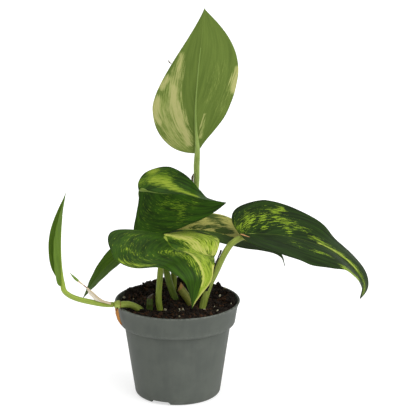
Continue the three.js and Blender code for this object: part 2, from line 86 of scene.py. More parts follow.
def smooth_value(values: tuple[float, ...], x: Array) -> Array:
    """A smooth value through evenly spaced ones.

    Formula: the uniform cubic through four neighbours, with the end values continued in a straight line.

    Args:
        values: the values at even steps from 0 to 1.
        x: where to read, from 0 to 1.

    Returns:
        The value at each x.
    """
    v = np.asarray(values, float)
    x = np.asarray(x, float)
    if len(v) == 1:
        return np.full(x.shape, v[0])
    padded = np.r_[2 * v[0] - v[1], v, 2 * v[-1] - v[-2]]
    u = np.clip(x, 0.0, 1.0) * (len(v) - 1)
    i = np.minimum(u.astype(int), len(v) - 2)
    w = u - i
    a, b, c, d = padded[i], padded[i + 1], padded[i + 2], padded[i + 3]
    return b + 0.5 * w * (c - a + w * (2 * a - 5 * b + 4 * c - d + w * (3 * (b - c) + d - a)))


def curve_through(points: Points | Array, count: int) -> Array:
    """A smooth curve through points, sampled at even steps of its parameter.

    Formula: the centripetal cubic, whose tangents weigh each chord by the root of its length.

    Args:
        points: the points that it passes through.
        count: how many samples.

    Returns:
        The samples, count by 3.
    """
    p = np.asarray(points, float)
    ends = np.vstack([2 * p[0] - p[1], p, 2 * p[-1] - p[-2]])
    u = np.linspace(0.0, len(p) - 1.0, count)
    i = np.minimum(u.astype(int), len(p) - 2)
    w = (u - i)[:, None]
    a, b, c, d = ends[i], ends[i + 1], ends[i + 2], ends[i + 3]

    def chord(m: Array, n: Array) -> Array:
        """The chord's weight."""
        return np.maximum(np.sum((m - n) ** 2, 1), 1e-12)[:, None] ** 0.25

    d0, d1, d2 = chord(a, b), chord(b, c), chord(c, d)
    start = ((b - a) / d0 - (c - a) / (d0 + d1) + (c - b) / d1) * d1
    end = ((c - b) / d1 - (d - b) / (d1 + d2) + (d - c) / d2) * d1
    return b + start * w + (3 * (c - b) - 2 * start - end) * w**2 + (2 * (b - c) + start + end) * w**3


def spaced(samples: Array, count: int) -> tuple[Array, float]:
    """Points spread evenly along a sampled curve.

    Args:
        samples: the curve's samples.
        count: how many points.

    Returns:
        The points and the curve's length.
    """
    run = np.r_[0.0, np.cumsum(np.linalg.norm(np.diff(samples, axis=0), axis=1))]
    at = np.linspace(0.0, run[-1], count)
    return np.stack([np.interp(at, run, samples[:, k]) for k in range(samples.shape[1])], 1), run[-1]


def carried(tangents: Array, up: Array) -> Array:
    """A direction carried along a path, kept square to it at every station.

    Args:
        tangents: the path's tangents.
        up: the direction at the start.

    Returns:
        The direction at each station.
    """
    carried_up = np.empty_like(tangents)
    direction = np.asarray(up, float)
    for i, tangent in enumerate(tangents):
        direction = unit(direction - (direction @ tangent) * tangent)
        carried_up[i] = direction
    return carried_up


def lattice_noise(x: Array, y: Array, size: float, seed: int) -> Array:
    """Smooth noise from -1 to 1.

    Formula: random values on a square lattice, blended by soft steps between the four corners round a place.

    Args:
        x: the place's first coordinate.
        y: its second one.
        size: the lattice's spacing.
        seed: the seed of the random values.

    Returns:
        The noise at each place.
    """
    table = np.random.default_rng(seed).uniform(-1.0, 1.0, (64, 64))
    u, v = x / size + 1000.0, y / size + 1000.0
    i, j = np.floor(u).astype(int), np.floor(v).astype(int)
    a, b = smooth_step(0.0, 1.0, u - i), smooth_step(0.0, 1.0, v - j)
    low = table[i % 64, j % 64] * (1 - a) + table[(i + 1) % 64, j % 64] * a
    high = table[i % 64, (j + 1) % 64] * (1 - a) + table[(i + 1) % 64, (j + 1) % 64] * a
    return low * (1 - b) + high * b


def steps(stations: int, turns: int) -> tuple[Array, Array]:
    """Shares from 0 to 1 along a path, in a column, and angles once round it, in a row."""
    return np.linspace(0.0, 1.0, stations)[:, None], np.linspace(0.0, 2 * np.pi, turns)[None]


def joined(*parts: Array) -> Array:
    """Coordinates brought to one shape and joined in the last axis."""
    return np.stack(np.broadcast_arrays(*parts), -1)


# Meshes


def placed(name: str, data: bpy.types.ID) -> bpy.types.Object:
    """A new object in the scene.

    Args:
        name: its name.
        data: its mesh, lamp or camera.

    Returns:
        The object.
    """
    piece = bpy.data.objects.new(name, data)
    bpy.context.scene.collection.objects.link(piece)
    return piece


class Skin:
    """A piece in the making: grids of points with their texture place, marks and finish."""

    MARKS = ("cream", "fleck", "dark", "rust")

    def __init__(self) -> None:
        """Starts with nothing in it."""
        self.points: list[Array] = []
        self.faces: list[Array] = []
        self.places: list[Array] = []
        self.marks: dict[str, list[Array]] = {mark: [] for mark in self.MARKS}
        self.finish: list[Array] = []
        self.total = 0

    def add_grid(self, points: Array, places: Array, finish: int = 0, **marks: Array | float) -> None:
        """Adds a grid of points with a face between each four neighbours.

        Args:
            points: the points, (rows, columns, 3).
            places: their texture places, (rows, columns, 2).
            finish: the number of their finish.
            marks: the strength of any mark at each point.
        """
        rows, columns = points.shape[:2]
        i, j = np.meshgrid(np.arange(rows - 1), np.arange(columns - 1), indexing="ij")
        corner = (i * columns + j).ravel() + self.total
        self.points.append(points.reshape(-1, 3))
        self.faces.append(np.stack([corner, corner + 1, corner + columns + 1, corner + columns], 1))
        self.places.append(places.reshape(-1, 2))
        self.finish.append(np.full(len(corner), finish))
        for mark in self.MARKS:
            self.marks[mark].append(np.broadcast_to(marks.get(mark, 0.0), (rows, columns)).ravel())
        self.total += rows * columns

    def make(self, name: str, finishes: list[bpy.types.Material], weld: float = 0.001) -> bpy.types.Object:
        """Puts everything into one object, with seams and poles welded and faces outward.

        Args:
            name: its name.
            finishes: its materials, by finish number.
            weld: how close points are that become one, in mm.

        Returns:
            The object.
        """
        faces = np.concatenate(self.faces)
        mesh = bpy.data.meshes.new(name)
        mesh.from_pydata((np.concatenate(self.points) * MM).tolist(), [], faces.tolist())
        mesh.polygons.foreach_set("material_index", np.concatenate(self.finish).astype(np.int32))
        mesh.polygons.foreach_set("use_smooth", np.ones(len(faces), bool))
        places = np.concatenate(self.places)[faces.ravel()].astype(np.float32)
        mesh.uv_layers.new(name="along").data.foreach_set("uv", places.ravel())
        for mark, values in self.marks.items():
            layer = mesh.attributes.new(mark, "FLOAT", "POINT")
            layer.data.foreach_set("value", np.concatenate(values).astype(np.float32))
        for finish in finishes:
            mesh.materials.append(finish)
        body = bmesh.new()
        body.from_mesh(mesh)
        bmesh.ops.remove_doubles(body, verts=body.verts, dist=weld * MM)
        bmesh.ops.dissolve_degenerate(body, edges=body.edges, dist=weld * MM / 10)
        bmesh.ops.recalc_face_normals(body, faces=body.faces)
        body.to_mesh(mesh)
        body.free()
        return placed(name, mesh)


def settle(piece: bpy.types.Object, slot: str, *nodes: str) -> bpy.types.Object:
    """Sets a finished piece on the plant.

    Args:
        piece: the piece, which rides on the body.
        slot: its material slot, not used.
        nodes: the solids that it stands for.

    Returns:
        The piece.
    """
    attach(piece, "root")
    if nodes:
        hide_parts(*nodes)
    return piece


@dataclass
class Path:
    """A path with a frame at each station, to carry profiles along."""

    points: Array
    tangent: Array
    normal: Array
    side: Array
    length: float

    @classmethod
    def through(cls, points: Points | Array, stations: int, up: Array, from_end: bool = False) -> Path:
        """A smooth path through points, with evenly spaced stations and a frame that keeps an up direction.

        Args:
            points: the points that it passes through.
            stations: how many stations.
            up: the direction that the frame's normal starts from.
            from_end: start the frame at the far end instead.

        Returns:
            The path.
        """
        on, length = spaced(curve_through(points, 100 * (len(points) - 1) + 1), stations)
        tangent = unit(np.gradient(on, axis=0))
        normal = carried(tangent[::-1], up)[::-1] if from_end else carried(tangent, up)
        return cls(on, tangent, normal, np.cross(tangent, normal), length)

    def cut(self, rows: slice) -> Path:
        """The stretch between two stations."""
        length = self.length * (rows.stop - rows.start) / len(self.points)
        return Path(self.points[rows], self.tangent[rows], self.normal[rows], self.side[rows], length)


def add_tube(skin: Skin, path: Path, radius: Array, finish: int = 0, slant: float = 0.0,
             **marks: Array | float) -> None:
    """Adds a closed tube along a path.

    Formula: point = centre + radius(turn) · (side · cos + normal · sin) at each station. The ends close in
    rings that shrink to the centre. A slanted end leans along the path by its place sideways, its last
    twelve stations more and more, and its face is slightly sunk.

    Args:
        skin: what it is added to.
        path: the tube's path.
        radius: its radius, (stations, turns), with the last turn equal to the first.
        finish: the number of its finish.
        slant: how far the far end leans for each mm sideways.
        marks: the strength of any mark at each place.
    """
    turns = radius.shape[1]
    angle = np.linspace(0.0, 2 * np.pi, turns)
    wheel = path.side[:, None] * np.cos(angle)[:, None] + path.normal[:, None] * np.sin(angle)[:, None]
    rings = path.points[:, None] + wheel * radius[..., None]
    run = np.linspace(0.0, path.length, len(path.points))
    places = joined(angle / (2 * np.pi), run[:, None])
    marks = {mark: np.broadcast_to(value, radius.shape) for mark, value in marks.items()}
    leaning = rings.copy()
    if slant:
        sideways = (rings[-1] - path.points[-1]) @ path.side[-1]
        rise = np.linspace(0.0, 1.0, 12)[:, None, None] ** 2
        leaning[-12:] += sideways[:, None] * path.tangent[-1] * slant * rise
    skin.add_grid(leaning, places, finish, **marks)
    shrink = np.array([1.0, 0.86, 0.5, 0.0])
    sunk = np.array([0.0, 0.2, 0.7, 1.0])
    for end, out in ((0, -0.5), (-1, 0.5)):
        swell = np.array([0.0, 0.3, 0.5, 0.56]) * radius[end].mean() * out
        cap = path.points[end] + (rings[end] - path.points[end])[None] * shrink[:, None, None]
        cap = cap + path.tangent[end] * swell[:, None, None]
        if slant and end == -1:
            tilt = ((cap - path.points[end]) @ path.side[end])[..., None] * path.tangent[end] * slant
            cap = cap + tilt - path.tangent[end] * sunk[:, None, None]
        spot = joined(angle / (2 * np.pi), run[end] + 4 * (1 - shrink)[:, None])
        skin.add_grid(cap, spot, finish, **{mark: value[end] for mark, value in marks.items()})


ALL_EDGES = (np.s_[:, 0], np.s_[:, -1], np.s_[0], np.s_[-1])


def add_sheet(skin: Skin, faces: tuple[Array, Array], places: Array, finishes: tuple[int, int],
              edges: tuple[object, ...] = ALL_EDGES, **marks: Array) -> None:
    """Adds a thin sheet: its two faces and the strips that join them along their edges.

    Args:
        skin: what it is added to.
        faces: the points of both faces, (rows, columns, 3) each.
        places: their texture places.
        finishes: the number of each face's finish. The strips take the first.
        edges: which edges get a strip.
        marks: the strength of any mark at each point.
    """
    for face, finish in zip(faces, finishes):
        skin.add_grid(face, places, finish, **marks)
    for edge in edges:
        strip = np.stack([faces[0][edge], faces[1][edge]], 1)
        twice = {mark: np.repeat(value[edge][:, None], 2, 1) for mark, value in marks.items()}
        skin.add_grid(strip, np.repeat(places[edge][:, None], 2, 1), finishes[0], **twice)


# Shader nodes


class Nodes:
    """A short way to add and link shader nodes in one tree."""

    def __init__(self, tree: bpy.types.NodeTree) -> None:
        """Works on the given tree."""
        self.tree = tree

    def feed(self, source: object, socket: bpy.types.NodeSocket) -> None:
        """Links a Value, or writes a plain number, colour or vector, into a socket.

        Args:
            source: what goes in.
            socket: where it goes.
        """
        if isinstance(source, Value):
            self.tree.links.new(source.socket, socket)
        else:
            socket.default_value = source

    def run(self, kind: str, output: str | int, fed: dict[str | int, object], **settings: object) -> Value:
        """A new node.

        Args:
            kind: its type.
            output: which of its outputs is wanted.
            fed: what goes into its inputs.
            settings: its settings by name.

        Returns:
            The output.
        """
        node = self.tree.nodes.new(kind)
        for key, value in settings.items():
            setattr(node, key, value)
        for key, source in fed.items():
            self.feed(source, node.inputs[key])
        return Value(self, node.outputs[output])

    def step(self, x: Value, low: Value | float, high: Value | float, to_low: float = 0.0,
             to_high: float = 1.0) -> Value:
        """A soft step between low and high."""
        fed = {"Value": x, "From Min": low, "From Max": high, "To Min": to_low, "To Max": to_high}
        return self.run("ShaderNodeMapRange", "Result", fed, interpolation_type="SMOOTHSTEP")

    def mix(self, share: Value, a: object, b: object) -> Value:
        """A colour between a and b."""
        return self.run("ShaderNodeMix", 2, {0: share, 6: a, 7: b}, data_type="RGBA")

    def noise(self, place: Value, scale: float | tuple[float, ...], detail: float = 3.0,
              roughness: float = 0.55) -> Value:
        """Noise from 0 to 1.

        Args:
            place: where it is read.
            scale: its scale, one for all axes or one for each.
            detail: how many finer layers it has.
            roughness: how strong they are.

        Returns:
            The noise.
        """
        if isinstance(scale, tuple):
            fed = {0: place, 1: (*scale, 1.0)[:3]}
            place = self.run("ShaderNodeVectorMath", 0, fed, operation="MULTIPLY")
            scale = 1.0
        fed = {"Vector": place, "Scale": scale, "Detail": detail, "Roughness": roughness}
        return self.run("ShaderNodeTexNoise", "Fac", fed)


@dataclass(frozen=True)
class Value:
    """A value that changes over a surface, so that sums of such values read as plain arithmetic."""

    nodes: Nodes
    socket: bpy.types.NodeSocket

    def sum(self, operation: str, other: Value | float = 0.0) -> Value:
        """One sum of this value and another."""
        return self.nodes.run("ShaderNodeMath", 0, {0: self, 1: other}, operation=operation)

    def __add__(self, other: Value | float) -> Value:
        """Both together."""
        return self.sum("ADD", other)

    def __sub__(self, other: Value | float) -> Value:
        """This less the other."""
        return self.sum("SUBTRACT", other)

    def __mul__(self, other: Value | float) -> Value:
        """One times the other."""
        return self.sum("MULTIPLY", other)

    def axis(self, name: str) -> Value:
        """One of a place's coordinates."""
        return self.nodes.run("ShaderNodeSeparateXYZ", name, {0: self})


def rgb(red: float, green: float, blue: float) -> tuple[float, float, float, float]:
    """A colour given as it looks on a screen, from 0 to 255, turned into light.

    Args:
        red: its red part.
        green: its green part.
        blue: its blue part.

    Returns:
        The light's red, green, blue and 1.
    """
    c = np.array([red, green, blue]) / 255.0
    light = np.where(c <= 0.04045, c / 12.92, ((c + 0.055) / 1.055) ** 2.4)
    return (*light.tolist(), 1.0)


class Effect(Nodes):
    """A shader node group in the making, with its inputs as values."""

    KINDS = {"Color": "Color", "Height": "Float", "Line": "Float", "Roughness": "Float", "Tone": "Float"}

    def __init__(self, name: str, outputs: tuple[str, ...], **inputs: object) -> None:
        """Makes the group with its sockets.

        Args:
            name: its name.
            outputs: the outputs' names.
            inputs: each input's plain value: a number, a colour, or None for a place.
        """
        super().__init__(bpy.data.node_groups.new(name, "ShaderNodeTree"))
        for label, value in inputs.items():
            kind = "Vector" if value is None else "Color" if isinstance(value, tuple) else "Float"
            socket = self.tree.interface.new_socket(label, in_out="INPUT", socket_type="NodeSocket" + kind)
            if value is not None:
                socket.default_value = value
        for label in outputs:
            kind = "NodeSocket" + self.KINDS[label]
            self.tree.interface.new_socket(label, in_out="OUTPUT", socket_type=kind)
        given = self.tree.nodes.new("NodeGroupInput").outputs
        self.given = {label: Value(self, given[label]) for label in inputs}
        self.results = self.tree.nodes.new("NodeGroupOutput").inputs

    def put_out(self, **results: Value) -> bpy.types.NodeTree:
        """Feeds the outputs.

        Args:
            results: each output's value.

        Returns:
            The group.
        """
        for label, value in results.items():
            self.feed(value, self.results[label])
        return self.tree


class Effects:
    """The shader node groups that several finishes share."""

    def __init__(self) -> None:
        """Builds each group once."""
        self.variegation = self.build_variegation()
        self.veins = self.build_veins()
        self.fibre = self.build_fibre()
        self.grain = self.build_grain()

    def build_variegation(self) -> bpy.types.NodeTree:
        """Green tissue with bright flecks, cream patches, dark places and rusty marks.

        The texture place runs along the veins: x from vein to vein, y out along them. Flecks show where
        noise along the veins, raised by the fleck mark, passes three levels. The noise frays patches.

        Returns:
            The group.
        """
        n = Effect("variegation", ("Color",), Place=None, Cream=0.0, Fleck=0.0, Dark=0.0, Rust=0.0,
                   Softness=0.0, Rib=0.0, Deep=BLACK, Green=BLACK, Bright=BLACK, Pale=BLACK,
                   Brown=rgb(178, 134, 88))
        place, cream, mark, dark, rust, soft, rib, deep, green, bright, pale, brown = n.given.values()
        broad = n.noise(place, (8.0, 3.5), 2.0)
        streak = n.noise(place, (30.0, 7.0), 5.0, 0.7)
        fleck = n.noise(place, (44.0, 15.0), 5.0, 0.7)
        speck = n.noise(place, (120.0, 26.0), 2.0)
        colour = n.mix(n.step(broad, 0.3, 0.7), deep, green)
        colour = n.mix(n.step(speck, 0.5, 0.75) * 0.12, colour, green)
        level = fleck + mark * 0.22
        for edge, share, tone in ((0.7, 0.55, green), (0.75, 0.8, bright), (0.9, 0.6, pale)):
            colour = n.mix(n.step(level, soft * -1.0 + edge, soft + edge) * share, colour, tone)
        ragged = cream + (streak - 0.5) * 3.2
        present = n.step(cream, 0.0, 0.15)
        halo = n.step(ragged, 0.08, 0.45) * present
        patch = n.step(ragged, soft * -3.0 + 0.48, soft * 4.0 + 0.48) * present
        colour = n.mix(halo * 0.6, colour, bright)
        flecked = n.mix(n.step(fleck, 0.52, 0.66) * 0.55, pale, bright)
        colour = n.mix(patch * 0.95, colour, flecked)
        shadow = n.step(dark + (streak - 0.5) * 3.4, 0.3, 0.62) * n.step(dark, 0.0, 0.12)
        colour = n.mix(shadow * 0.96, colour, deep)
        beside = n.step(place.axis("Y").sum("ABSOLUTE"), 0.045, 0.02)
        colour = n.mix(beside * rib, colour, bright)
        rusty = n.step(rust + (fleck - 0.5) * 1.4, 0.25, 0.75) * n.step(rust, 0.0, 0.1)
        return n.put_out(Color=n.mix(rusty, colour, brown))

    def build_veins(self) -> bpy.types.NodeTree:
        """Side veins and the cells between them, as a height for relief, a line mask and a roughness.

        Formula: a cosine of the distance from vein to vein, cut off where it is low, plus fine noise.

        Returns:
            The group.
        """
        n = Effect("side_veins", ("Height", "Line", "Roughness"), Place=None, Count=13.0)
        place, count = n.given.values()
        turn = (place.axis("X") * count + n.noise(place, (5.0, 2.0)) * 0.9) * (2 * math.pi)
        line = n.step(turn.sum("COSINE"), 0.8, 1.0)
        cells = n.noise(place, (160.0, 60.0), 2.0)
        height = cells * 0.25 - line * 0.35 + (turn * 4.0).sum("COSINE") * 0.06
        sheen = n.noise(place, (14.0, 3.0))
        return n.put_out(Height=height, Line=line, Roughness=n.step(sheen, 0.25, 0.75, 0.38, 0.52))

    def build_fibre(self) -> bpy.types.NodeTree:
        """Long fibres and small spots on a stalk. The texture place is the turn round it and mm along it.

        Returns:
            The group.
        """
        n = Effect("stalk_fibre", ("Color", "Height"), Place=None, Dark=0.0, Rust=0.0, Light=BLACK,
                   Shade=BLACK, Brown=BLACK)
        along, dark, rust, light, shade, brown = n.given.values()
        angle = along.axis("X") * (2 * math.pi)
        ring = {0: angle.sum("COSINE"), 1: angle.sum("SINE"), 2: along.axis("Y") * 0.05}
        place = n.run("ShaderNodeCombineXYZ", 0, ring)
        fibre = n.noise(place, (7.0, 7.0, 2.0), 4.0, 0.6)
        spots = n.noise(place, (5.0, 5.0, 26.0))
        bands = n.noise(place, (0.8, 0.8, 5.0), 2.0)
        colour = n.mix(n.step(fibre, 0.32, 0.66), shade, light)
        colour = n.mix(n.step(bands, 0.4, 0.68) * 0.45, colour, light)
        colour = n.mix(n.step(spots, 0.66, 0.74) * 0.55, colour, brown)
        colour = n.mix(dark * 0.85, colour, shade)
        rusty = n.step(rust + (spots - 0.5) * 0.9, 0.25, 0.65) * n.step(rust, 0.0, 0.1)
        return n.put_out(Color=n.mix(rusty, colour, brown), Height=fibre + spots * 0.5)

    def build_grain(self) -> bpy.types.NodeTree:
        """A fine moulded grain with faint clouds, in metres: a tone from 0 to 1, a height and a roughness.

        Returns:
            The group.
        """
        n = Effect("moulded_grain", ("Tone", "Height", "Roughness"), Place=None)
        (place,) = n.given.values()
        cloud = n.noise(place, 55.0, 4.0, 0.6)
        drawn = n.noise(place, (260.0, 260.0, 22.0))
        sheen = n.step(cloud * 0.5 + drawn * 0.5, 0.35, 0.65, 0.42, 0.58)
        return n.put_out(Tone=cloud * 0.7 + drawn * 0.3, Height=n.noise(place, 1600.0, 2.0) + drawn * 0.6,
                         Roughness=sheen)


# Finishes


class Surface(Nodes):
    """A material in the making: its nodes, its surface shader and the shared effects."""

    def __init__(self, name: str, effects: Effects) -> None:
        """Makes the material.

        Args:
            name: its name.
            effects: the shared effects.
        """
        self.material = bpy.data.materials.new(name)
        self.material.use_nodes = True
        super().__init__(self.material.node_tree)
        self.shader = self.tree.nodes["Principled BSDF"]
        self.effects = effects

    def put(self, label: str, source: object) -> None:
        """Feeds one of the shader's inputs."""
        self.feed(source, self.shader.inputs[label])

    def mark(self, label: str) -> Value:
        """A piece's own mark."""
        return self.run("ShaderNodeAttribute", "Fac", {}, attribute_name=label)

    def along(self) -> Value:
        """The piece's own texture places."""
        return self.run("ShaderNodeUVMap", "UV", {}, uv_map="along")

    def inside(self) -> Value:
        """Places in the object's own metres."""
        return self.run("ShaderNodeTexCoord", "Object", {})

    def attach(self, group: bpy.types.NodeTree, **given: object) -> list[Value]:
        """Places a shared effect.

        Args:
            group: the effect.
            given: its inputs by name. True stands for the piece's own mark of that name.

        Returns:
            Its outputs.
        """
        fed = {label: self.mark(label.lower()) if value is True else value for label, value in given.items()}
        first = self.run("ShaderNodeGroup", 0, fed, node_tree=group)
        return [Value(self, output) for output in first.socket.node.outputs]

    def relief(self, height: Value, strength: float, depth: float) -> None:
        """Adds a bump of the given height, strength and depth in mm."""
        fed = {"Height": height, "Strength": strength, "Distance": depth * MM}
        self.put("Normal", self.run("ShaderNodeBump", "Normal", fed))


@dataclass(frozen=True)
class Finish:
    """What all finishes share: a name and a gloss."""

    name: str
    gloss: float = 0.25

    def dress(self, on: Surface) -> None:
        """Gives a surface its colour and relief."""
        raise NotImplementedError

    def make(self, effects: Effects) -> bpy.types.Material:
        """The finish as a new material.

        Args:
            effects: the shared effects.

        Returns:
            The material.
        """
        on = Surface(self.name, effects)
        on.put("Specular IOR Level", self.gloss)
        self.dress(on)
        return on.material


@dataclass(frozen=True)
class LeafFinish(Finish):
    """One face of a blade: variegated tissue with side veins, under a thin waxy coat."""

    deep: Colour = (30, 55, 14)
    green: Colour = (48, 84, 20)
    bright: Colour = (128, 150, 48)
    pale: Colour = (190, 190, 122)
    line: float = 0.035
    rib: float = 0.3
    softness: float = 0.035
    coat: float = 0.02
    gloss: float = 0.05

    def dress(self, on: Surface) -> None:
        """Lays tissue and veins along the piece's own texture places.

        Args:
            on: the surface.
        """
        (tissue,) = on.attach(
            on.effects.variegation, Place=on.along(), Cream=True, Fleck=True, Dark=True, Rust=True,
            Deep=rgb(*self.deep), Green=rgb(*self.green), Bright=rgb(*self.bright), Pale=rgb(*self.pale),
            Softness=self.softness, Rib=self.rib)
        height, line, roughness = on.attach(on.effects.veins, Place=on.along())
        on.put("Base Color", on.mix(line * self.line, tissue, rgb(*self.bright)))
        on.put("Roughness", roughness)
        on.put("Coat Weight", self.coat)
        on.put("Coat Roughness", 0.3)
        on.relief(height, 0.25, 0.2)


@dataclass(frozen=True)
class StalkFinish(Finish):
    """A stalk, shoot or sheath with long fibres."""

    light: Colour = (150, 163, 84)
    shade: Colour = (96, 116, 40)
    brown: Colour = (120, 84, 44)
    roughness: float = 0.45
    depth: float = 0.12

    def dress(self, on: Surface) -> None:
        """Lays fibres and spots along the piece.

        Args:
            on: the surface.
        """
        colour, height = on.attach(on.effects.fibre, Place=on.along(), Dark=True, Rust=True,
                                   Light=rgb(*self.light), Shade=rgb(*self.shade), Brown=rgb(*self.brown))
        on.put("Base Color", colour)
        on.put("Roughness", on.step(height, 0.4, 1.1, self.roughness - 0.06, self.roughness + 0.12))
        on.relief(height, 0.45, self.depth)


@dataclass(frozen=True)
class PlasticFinish(Finish):
    """Grey moulded plastic with a faint cloudiness, painted edge highlights, a darker foot and stain with
    painted shade inside.
    """

    light: Colour = (86, 90, 84)
    shade: Colour = (79, 83, 78)
    # the colour of the painted highlight on the lip's top and the band's bottom edge
    edge_tone: Colour = (116, 120, 113)
    # the darker tone: peat stain and painted shade inside, and a darker foot outside
    stain_and_shade_tone: Colour = (58, 50, 40)
    gloss: float = 0.08

    def dress(self, on: Surface) -> None:
        """Lays grain and clouds, a painted highlight where the fleck mark is and a darker tone where the dark
        mark is.

        Args:
            on: the surface.
        """
        place = on.inside()
        tone, height, roughness = on.attach(on.effects.grain, Place=place)
        colour = on.mix(on.step(tone, 0.36, 0.64), rgb(*self.shade), rgb(*self.light))
        # painted highlight, carried in the fleck mark: pale rings on the lip's top and the band's bottom edge
        edge_highlight = on.mark("fleck") * on.step(on.noise(place, 420.0, 4.0, 0.7), 0.36, 0.62)
        colour = on.mix(edge_highlight * 0.8, colour, rgb(*self.edge_tone))
        # inside, peat stain and painted shade; outside, darker towards the foot
        stain_and_shade = on.mark("dark") * on.step(on.noise(place, 160.0, 4.0, 0.7), 0.42, 0.62)
        on.put("Base Color", on.mix(stain_and_shade * 0.7, colour, rgb(*self.stain_and_shade_tone)))
        on.put("Roughness", roughness)
        on.relief(height, 0.25, 0.05)


@dataclass(frozen=True)
class EarthFinish(Finish):
    """Peat, bark or perlite: a crumbly surface in two tones, with scattered crumbs of an accent colour."""

    dark: Colour = (13, 9, 6)
    light: Colour = (44, 31, 22)
    accent: Colour = (88, 56, 34)
    size: float = 700.0
    roughness: float = 0.95

    def dress(self, on: Surface) -> None:
        """Lays clumps and crumbs at two sizes.

        Args:
            on: the surface.
        """
        place = on.inside()
        clump = on.noise(place, self.size, 5.0, 0.7)
        crumb = on.noise(place, 2.6 * self.size, 3.0, 0.65)
        colour = on.mix(on.step(clump, 0.35, 0.68), rgb(*self.dark), rgb(*self.light))
        colour = on.mix(on.step(crumb, 0.62, 0.74) * 0.7, colour, rgb(*self.accent))
        on.put("Base Color", on.mix(on.mark("dark") * 0.6, colour, rgb(*self.dark)))
        on.put("Roughness", on.step(clump, 0.3, 0.7, self.roughness - 0.12, self.roughness))
        on.relief(clump + crumb * 0.5, 0.7, 0.4)


# Parts


class Part:
    """What becomes one piece and stands for the solid of its name, unless it is an extra with no solid."""

    name: str
    slot: str
    finishes: tuple[Finish, ...]
    extra = False

    def add_to(self, skin: Skin) -> None:
        """Adds the part's shapes."""
        raise NotImplementedError

    def build(self, effects: Effects) -> list[bpy.types.Object]:
        """The finished part.

        Args:
            effects: the shared effects.

        Returns:
            Its piece.
        """
        skin = Skin()
        self.add_to(skin)
        made = [finish.make(effects) for finish in self.finishes]
        if self.extra:
            return [settle(skin.make(self.name, made), self.slot)]
        return [settle(skin.make(self.name + "_fine", made), self.slot, self.name)]


# Leaves


class Mark(Enum):
    """What a patch on a blade is made of: cream, bright flecks, dark green or rust."""

    CREAM = "cream"
    FLECK = "fleck"
    DARK = "dark"
    RUST = "rust"

    def along(self, *line: tuple[float, float, float], strength: float = 1.0) -> Patch:
        """A patch of this kind."""
        return Patch(self, line, strength)


@dataclass(frozen=True)
class Patch:
    """A patch or streak on half a blade.

    line gives places in its middle: along the outline (0 base, 1 tip), from the midrib (0) to the margin (1),
    and the reach to each side in mm.
    """

    mark: Mark
    line: Points
    strength: float


cream, flecks, shade, rust = (mark.along for mark in Mark)


@dataclass(frozen=True)
class HalfShape:
    """One half of a blade's outline, in blade lengths, with its fold and curl in degrees from base to tip."""

    width: float
    at: float
    lobe: float
    open: float
    run: float
    tip_at: float
    tip_width: float
    fold: tuple[float, ...]
    curl: tuple[float, ...]

    def outline(self, count: int) -> Array:
        """The outline from the base round the side to the tip.

        Formula: two cubic curves, one from the base round the lobe to the widest place and one on to the tip.

        Args:
            count: how many points it has.

        Returns:
            The points, evenly spaced, count by 2.
        """
        t = np.linspace(0.0, 1.0, 241)[:, None]
        weights = np.hstack([(1 - t) ** 3, 3 * (1 - t) ** 2 * t, 3 * (1 - t) * t**2, t**3])
        back = -1.15 * self.lobe
        widest = (self.at, self.width)
        lobe = weights @ np.array([(0, 0), (back, self.width * self.open), (back, self.width), widest])
        past = (self.at + self.run, self.width)
        side = weights @ np.array([widest, past, (self.tip_at, self.tip_width), (1, 0)])
        return spaced(np.vstack([lobe, side[1:]]), count)[0]


